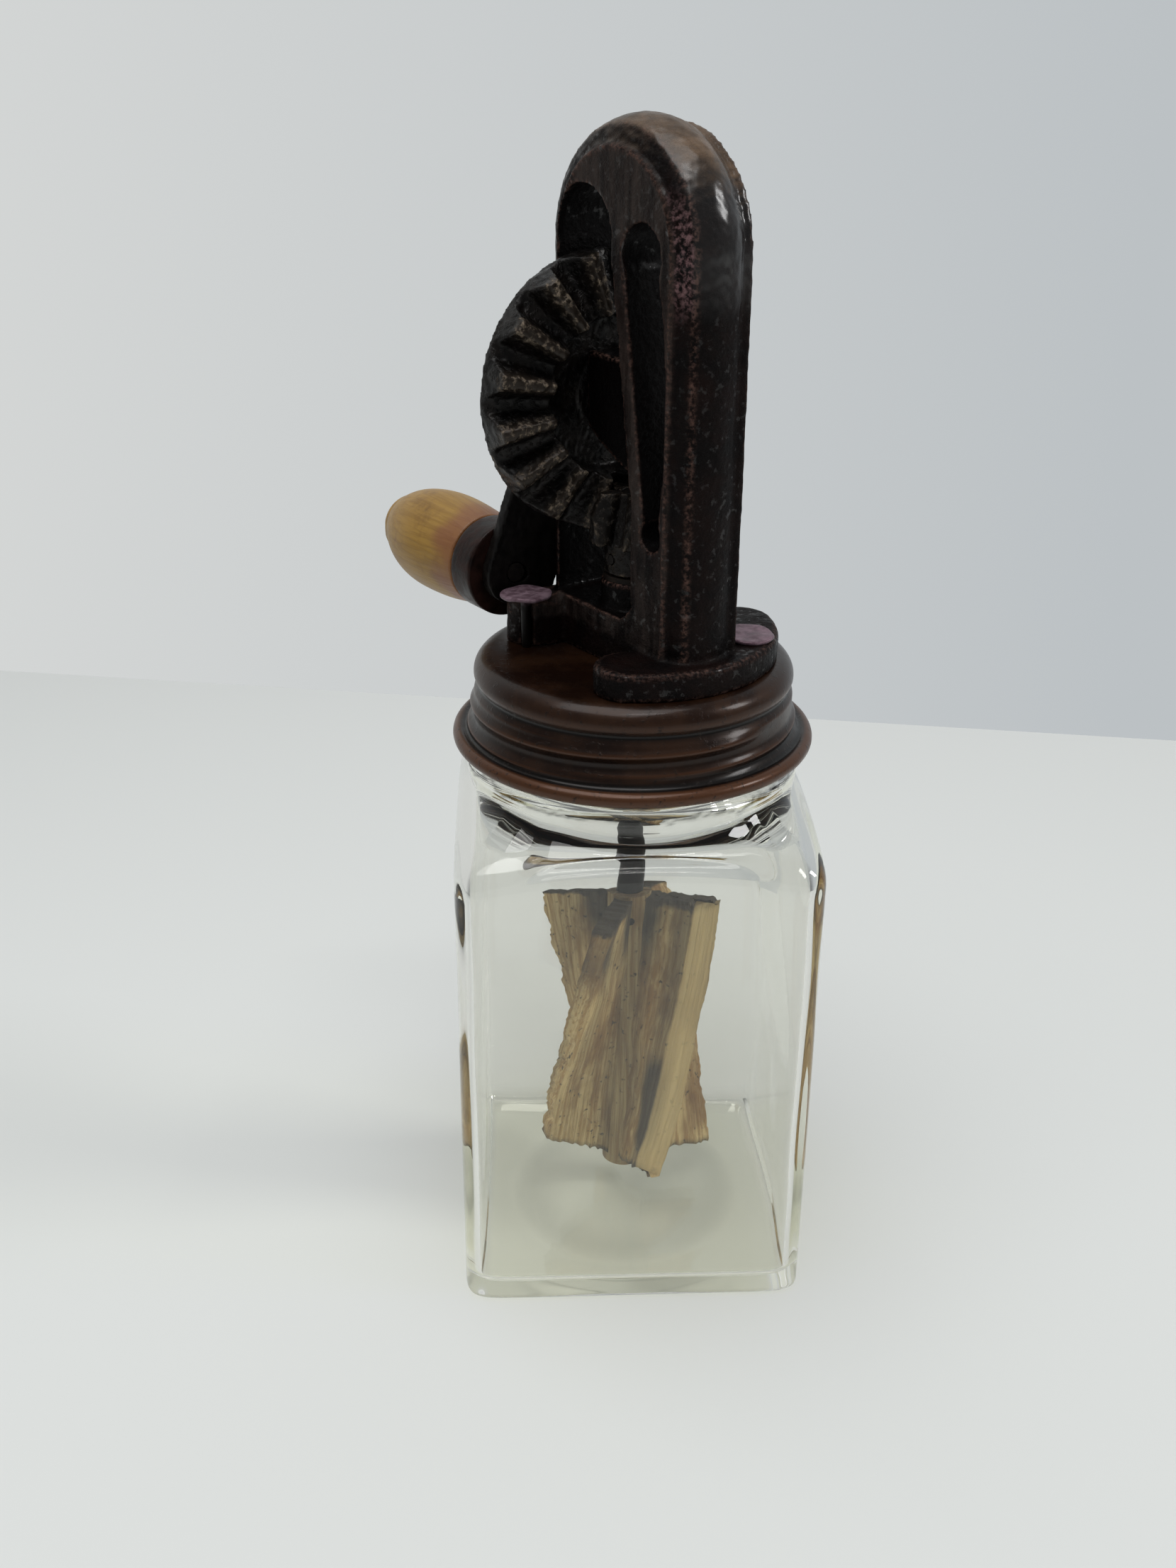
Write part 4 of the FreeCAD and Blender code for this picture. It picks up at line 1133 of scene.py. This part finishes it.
knob_grid = turned(knob_profile(), 128)
knob_uneven = 0.1 * np.minimum(ripple(knob_grid, 15.0, 71) - 2.0, 0)
outside_knob = from_axis(knob_grid) > 4
knob_grid[..., :2] *= 1 + (knob_uneven * outside_knob / 10)[..., None]
knob_points = np.clip(along_axle(knob_grid, pin_foot), *box_of("wood_knob"))
stain_line = knob_grid[..., 2] + 1.5 * ripple(knob_grid, 9.0, 73)
knob_stain = 0.7 * fade(knob_start + 9, knob_start + 1, stain_line)
knob_fields = {"grain": knob_grid * MM, "stain": knob_stain}
knob_mesh = grid_mesh("turned_knob", knob_points, knob_fields, ring=True)
show("turned_knob", knob_mesh, "knob_body", "wood_knob", knob_finish)

collar_grid = along_axle(turned(collar_profile(), 96), pin_foot)
collar_mesh = grid_mesh("turned_collar", collar_grid, ring=True)
show("turned_collar", collar_mesh, "crank_body", "knob_collar", collar_finish)

# %% [markdown]
# ## Dasher
# Each blade is a board whose ends are turned against each other, with straight lines between them.
# A loop round the board's section is carried up that twist. The ends are ragged, the edges chipped,
# and the faces follow the grain. At both ends the loop folds flat, which closes the board.

# %% Blade surfaces
dasher_low, dasher_high = (corner[2] for corner in box_of("dasher_core"))
dasher_length = dasher_high - dasher_low
dasher_radius = 20.0
root_radius = 4.0
blade_half = 2.5
dasher_twist = 62.0
bottom_angle = -82.0
root_rise = 0.5
waist_fill = 0.6
BOARD_ROWS = 84
BLADE_LOOKS = dict(
    end_rise=(7.0, 0.5, 4.0, 9.0),
    chips=(0.3, 0.9, 1.3, 1.3),
    fresh=(1.0, 0.0, 0.0, 0.0),
    dark_face=(0.75, 0.1, 0.0, 0.3),
    knot_depth=(0.0, 0.0, 0.0, 0.9),
    slant=(0.3, 0.0, 0.0, 0.0),
    seed=(81, 91, 101, 111),
)


def blade_section(across):
    """A board's section as (radius, side) shares: out along one face, round the edge and back."""
    out = np.linspace(0, 1, across)
    edge = np.radians(np.linspace(90, -90, 9)[1:-1])
    top = np.stack([out, np.ones(across)], axis=1)
    rim = np.stack([np.ones(7), np.sign(np.sin(edge)) * np.abs(np.sin(edge)) ** 0.4], axis=1)
    back = np.stack([out[::-1], -np.ones(across)], axis=1)
    root = np.stack([np.zeros(3), np.array([-0.5, 0, 0.5])], axis=1)
    return np.concatenate([top, rim, back, root])


def ragged(place, size, seed):
    """Uneven steps of a broken end: the distance of a smooth uneven field from zero, coarse and
    fine together."""
    line = np.stack([place, 0 * place], axis=-1)
    return np.abs(ripple(line, size, seed)) + 0.5 * np.abs(ripple(line, size / 3, seed + 1))


def ruling(number, height):
    """Cosine and sine of a blade's direction at each height, on straight lines between those of its
    ends. A power of how much the lines narrow the waist fills it out again."""
    start = math.radians(bottom_angle + 90 * number)
    end = start + math.radians(dasher_twist)
    span = (height - dasher_low) / dasher_length
    cosine = (1 - span) * math.cos(start) + span * math.cos(end)
    sine = (1 - span) * math.sin(start) + span * math.sin(end)
    fuller = np.hypot(cosine, sine) ** -waist_fill
    return cosine * fuller, sine * fuller


def blade_stain_and_shade(share, out, side, grain, dark_face, knot_depth, seed):
    """Dark places: a knot near the top, the wet bottom end, blotches, one darker face, and painted
    shade at the top end under the lid and in the root's corner.
    """
    length = share * dasher_length
    near_top = fade(dasher_length - 2.5, dasher_length - 0.5, length)
    # The bottom end is wet; the darker top end is painted shade under the lid.
    ends = 0.6 * fade(1.4, 0.2, length) + near_top
    blotch = np.clip(ripple(grain * (1, 1, 0.3), 12.0, seed + 8), 0, 2)
    knot = knot_depth * bump(share, 0.86, 0.1) * bump(out, 0.85, 0.3) * (0.6 + 0.5 * blotch)
    # One face of the board is darker, by an amount given for each blade.
    darker_face = dark_face * fade(0.4, 0.8, out) * (side < -0.5) * (0.7 + 0.3 * blotch)
    # Painted shade in the corner by the root, near the top.
    root_shade = 0.5 * fade(0.55, 0.2, out) * fade(0.7, 0.95, share)
    return knot + ends + 0.18 * blotch + darker_face + root_shade


def blade_mesh(number, end_rise, chips, fresh, dark_face, knot_depth, slant, seed):
    """The ruled board between the bottom loop and the top loop: point = bottom + share * (top -
    bottom). A slant bevels its outer edge."""
    section = blade_section(26)
    share = np.concatenate([[0, 0], np.linspace(0, 1, BOARD_ROWS), [1, 1]])[:, None]
    fold = np.concatenate([[0.0, 0.75], np.ones(BOARD_ROWS), [0.75, 0.0]])[:, None]
    out, side = section[:, 0], section[:, 1] * fold
    length = share * dasher_length
    chip = chips * (0.1 + 0.5 * ragged(length, 10.0, seed))
    bevel = 1 - slant * (1 - section[:, 1]) / 2
    radius = root_radius + out * bevel * (dasher_radius - 0.1 - root_radius - chip)
    reach = root_radius + out * (dasher_radius - root_radius)
    low = root_rise + (end_rise - root_rise) * reach / (dasher_radius + 1)
    low = low + 0.4 * ragged(reach, 4.0, seed + 2)
    high = 0.3 + 0.4 * ragged(reach, 5.0, seed + 4)
    height = dasher_low + low + share * (dasher_length - low - high)
    flat = np.stack([reach + 0 * share, 2 * side, length + 0 * out], axis=-1)
    fibres = np.abs(ripple(flat * (1, 1, 0.09), 2.2, seed + 6))
    dents = np.abs(ripple(flat, 19.0, seed + 7))
    across = side * (blade_half - 0.12 - 0.16 * fibres - 0.25 * dents)
    cosine, sine = ruling(number, height)
    x = radius * cosine - across * sine
    y = radius * sine + across * cosine
    grain = np.stack([radius + 40 * number, across, height], axis=-1)
    sawn = 0.75 * fresh * fade(0.97, 1.0, out) * fade(1.1, 0.9, np.abs(side))
    stain = blade_stain_and_shade(share, out, side, grain, dark_face, knot_depth, seed)
    # Painted shade: darker towards the core, between the blades.
    stain = stain + 0.3 * fade(10, 4.5, radius)
    stain = np.clip(stain * (1 - sawn), 0, 0.92)
    fields = {"grain": grain * MM, "stain": stain, "fresh": sawn}
    return grid_mesh("paddle_blade_%d" % (number + 1), np.stack([x, y, height], axis=-1), fields)


for number in range(4):
    node = "blade_%d" % (number + 1)
    mesh = blade_mesh(number, **{name: values[number] for name, values in BLADE_LOOKS.items()})
    show("paddle_" + node, mesh, "dasher_body", node, dasher_finish)

# %% [markdown]
# ## Shaft
# The upright shaft is a dark rod, pitted by rust, turned about its own axis.

# %% Shaft surface
shaft_low, shaft_high = (corner[2] for corner in box_of("dasher_shaft"))
shaft_radius = 2.8
chamfer = 0.3
pit_share = 0.015
shaft_profile = joined(
    run((0, shaft_low), (shaft_radius - chamfer, shaft_low), 3),
    run((shaft_radius, shaft_low + chamfer), (shaft_radius, shaft_high - chamfer), 160),
    run((shaft_radius - chamfer, shaft_high), (0, shaft_high), 3),
)
shaft_grid = turned(shaft_profile, 40)
shaft_grid[..., :2] *= 1 - pit_share * np.abs(ripple(shaft_grid, 4.0, 121))[..., None]
shaft_mesh = grid_mesh("rusty_shaft", shaft_grid)
show("rusty_shaft", shaft_mesh, "dasher_body", "dasher_shaft", steel_finish)

# %% [markdown]
# ## Finishes on the solids that stay
# Pins, nut, washer, key, bushes, axle, seal and the dasher's core keep their own solids and only
# get a finish.

# %% Dress the solids that stay
CORE_STAIN = 0.45
STAYING = {
    "lid_seal": rubber_finish,
    "shaft_bush": bush_finish,
    "axle_bush": bush_finish,
    "gear_key": steel_finish,
    "gear_axle": steel_finish,
    "crank_washer": steel_finish,
    "axle_nut": steel_finish,
    "knob_pin": steel_finish,
    "pinion_pin": steel_finish,
    "dasher_pins": steel_finish,
    "dasher_core": dasher_finish,
}
core_points = points_of(nodes["dasher_core"].data)
core_fields = {"grain": core_points * MM, "stain": np.full(len(core_points), CORE_STAIN)}
set_fields(nodes["dasher_core"].data, core_fields)
for node, finish in STAYING.items():
    nodes[node].data.materials.clear()
    nodes[node].data.materials.append(finish)
print("finishes on", len(STAYING), "solids")

# %% [markdown]
# ## Floor, light and camera
# The churn stands on a pale table. A window to the right gives the glint on the arch and the soft
# shadow to the left, a broad lamp above fills, a narrow one draws bright lines on the glass edges,
# and a pale wall behind lights the rest. The camera looks down from just above the lid, as close as
# a hand-held picture would be.

# %% Table
TABLE_BACK = np.array((0.0, 297.0))
TABLE_WAY = np.array((0.983, -0.1825))
TABLE_FRONT = np.array((-0.1825, -0.983))
TABLE_REACH = 2500.0
GROUND = -0.05


def table_top():
    """A flat sheet from the table's back edge far to both sides and to the front."""
    shares = np.array([(1, 0), (-1, 0), (-1, 1), (1, 1)])
    corners = TABLE_BACK + TABLE_REACH * shares @ np.stack([TABLE_WAY, TABLE_FRONT])
    mesh = bpy.data.meshes.new("table_top")
    mesh.from_pydata([(*(corner * MM), GROUND * MM) for corner in corners], [], [(0, 1, 2, 3)])
    mesh.update()
    sockets = {"Base Color": colour("#dfe1df"), "Roughness": 0.7, "Specular IOR Level": 0.1}
    mesh.materials.append(new_finish("pale_table_paint", sockets)[0])
    piece = new_piece("table_top", mesh)
    print("table top", 2 * TABLE_REACH, "mm wide")


table_top()


# %% Lamps and room
def soft_lamp(name, place, target, size, power):
    """A rectangular lamp of a size in millimetres that faces a target."""
    lamp = bpy.data.lights.new(name, "AREA")
    lamp.shape = "RECTANGLE"
    lamp.size, lamp.size_y = (side * MM for side in size)
    lamp.energy = power
    piece = new_piece(name, lamp)
    aim = np.array(target, float) - np.array(place, float)
    aim /= np.linalg.norm(aim)
    side = np.cross(aim, UP)
    side /= np.linalg.norm(side)
    axes = np.stack([side, np.cross(side, aim), -aim], axis=1)
    piece.matrix_world = Matrix(axes.tolist()).to_4x4()
    piece.location = np.array(place) * MM


def pale_room():
    """A room with a pale wall behind the table, brightest on the left, and darker elsewhere."""
    room = bpy.data.worlds.new("pale_room")
    room.use_nodes = True
    tree = room.node_tree
    way = add(tree, "TexCoord").outputs["Generated"]
    parts = add(tree, "SeparateXYZ", {0: way}).outputs
    to_right = ramp(tree, parts["X"], -0.35, 0.35)
    behind = ramp(tree, parts["Y"], 0.1, 0.6)
    wall_tint = layered(tree, "#d5d7d6", (to_right, "#bcc1c4"))
    tint = layered(tree, "#77797a", (behind, wall_tint))
    tree.links.new(tint, tree.nodes["Background"].inputs["Color"])
    bpy.context.scene.world = room


soft_lamp("right_window", (1560, -283, 1060), (10, -17, 200), (430, 520), 9.5)
soft_lamp("top_softbox", (-150, -150, 1000), (-40, 0, 60), (800, 800), 6.2)
soft_lamp("ceiling_strip", (80, -420, 1150), (0, -30, 110), (420, 40), 0.8)
pale_room()

# %% Camera
FRAME_HEIGHT = 2212
FOCAL_PIXELS = 2300.0
SENSOR = 36.0
CAMERA_PLACE = np.array((-22.6, -302.2, 245.1))
yaw, pitch, roll = np.radians((-2.61, 25.01, 0.40))
ahead = np.array((-np.sin(yaw) * np.cos(pitch), np.cos(yaw) * np.cos(pitch), -np.sin(pitch)))
level = np.array((np.cos(yaw), np.sin(yaw), 0.0))
above = np.cross(level, ahead)
side = np.cos(roll) * level + np.sin(roll) * above
top = np.cos(roll) * above - np.sin(roll) * level
lens = bpy.data.cameras.new("hand_camera")
lens.sensor_width = SENSOR
lens.lens = FOCAL_PIXELS / FRAME_HEIGHT * SENSOR
lens.clip_start = 0.01
camera = new_piece("hand_camera", lens)
camera.matrix_world = Matrix(np.stack([side, top, -ahead], axis=1).tolist()).to_4x4()
camera.location = CAMERA_PLACE * MM
bpy.context.scene.camera = camera
bpy.context.scene.view_settings.view_transform = "Standard"
print("lens", round(lens.lens, 2), "mm")
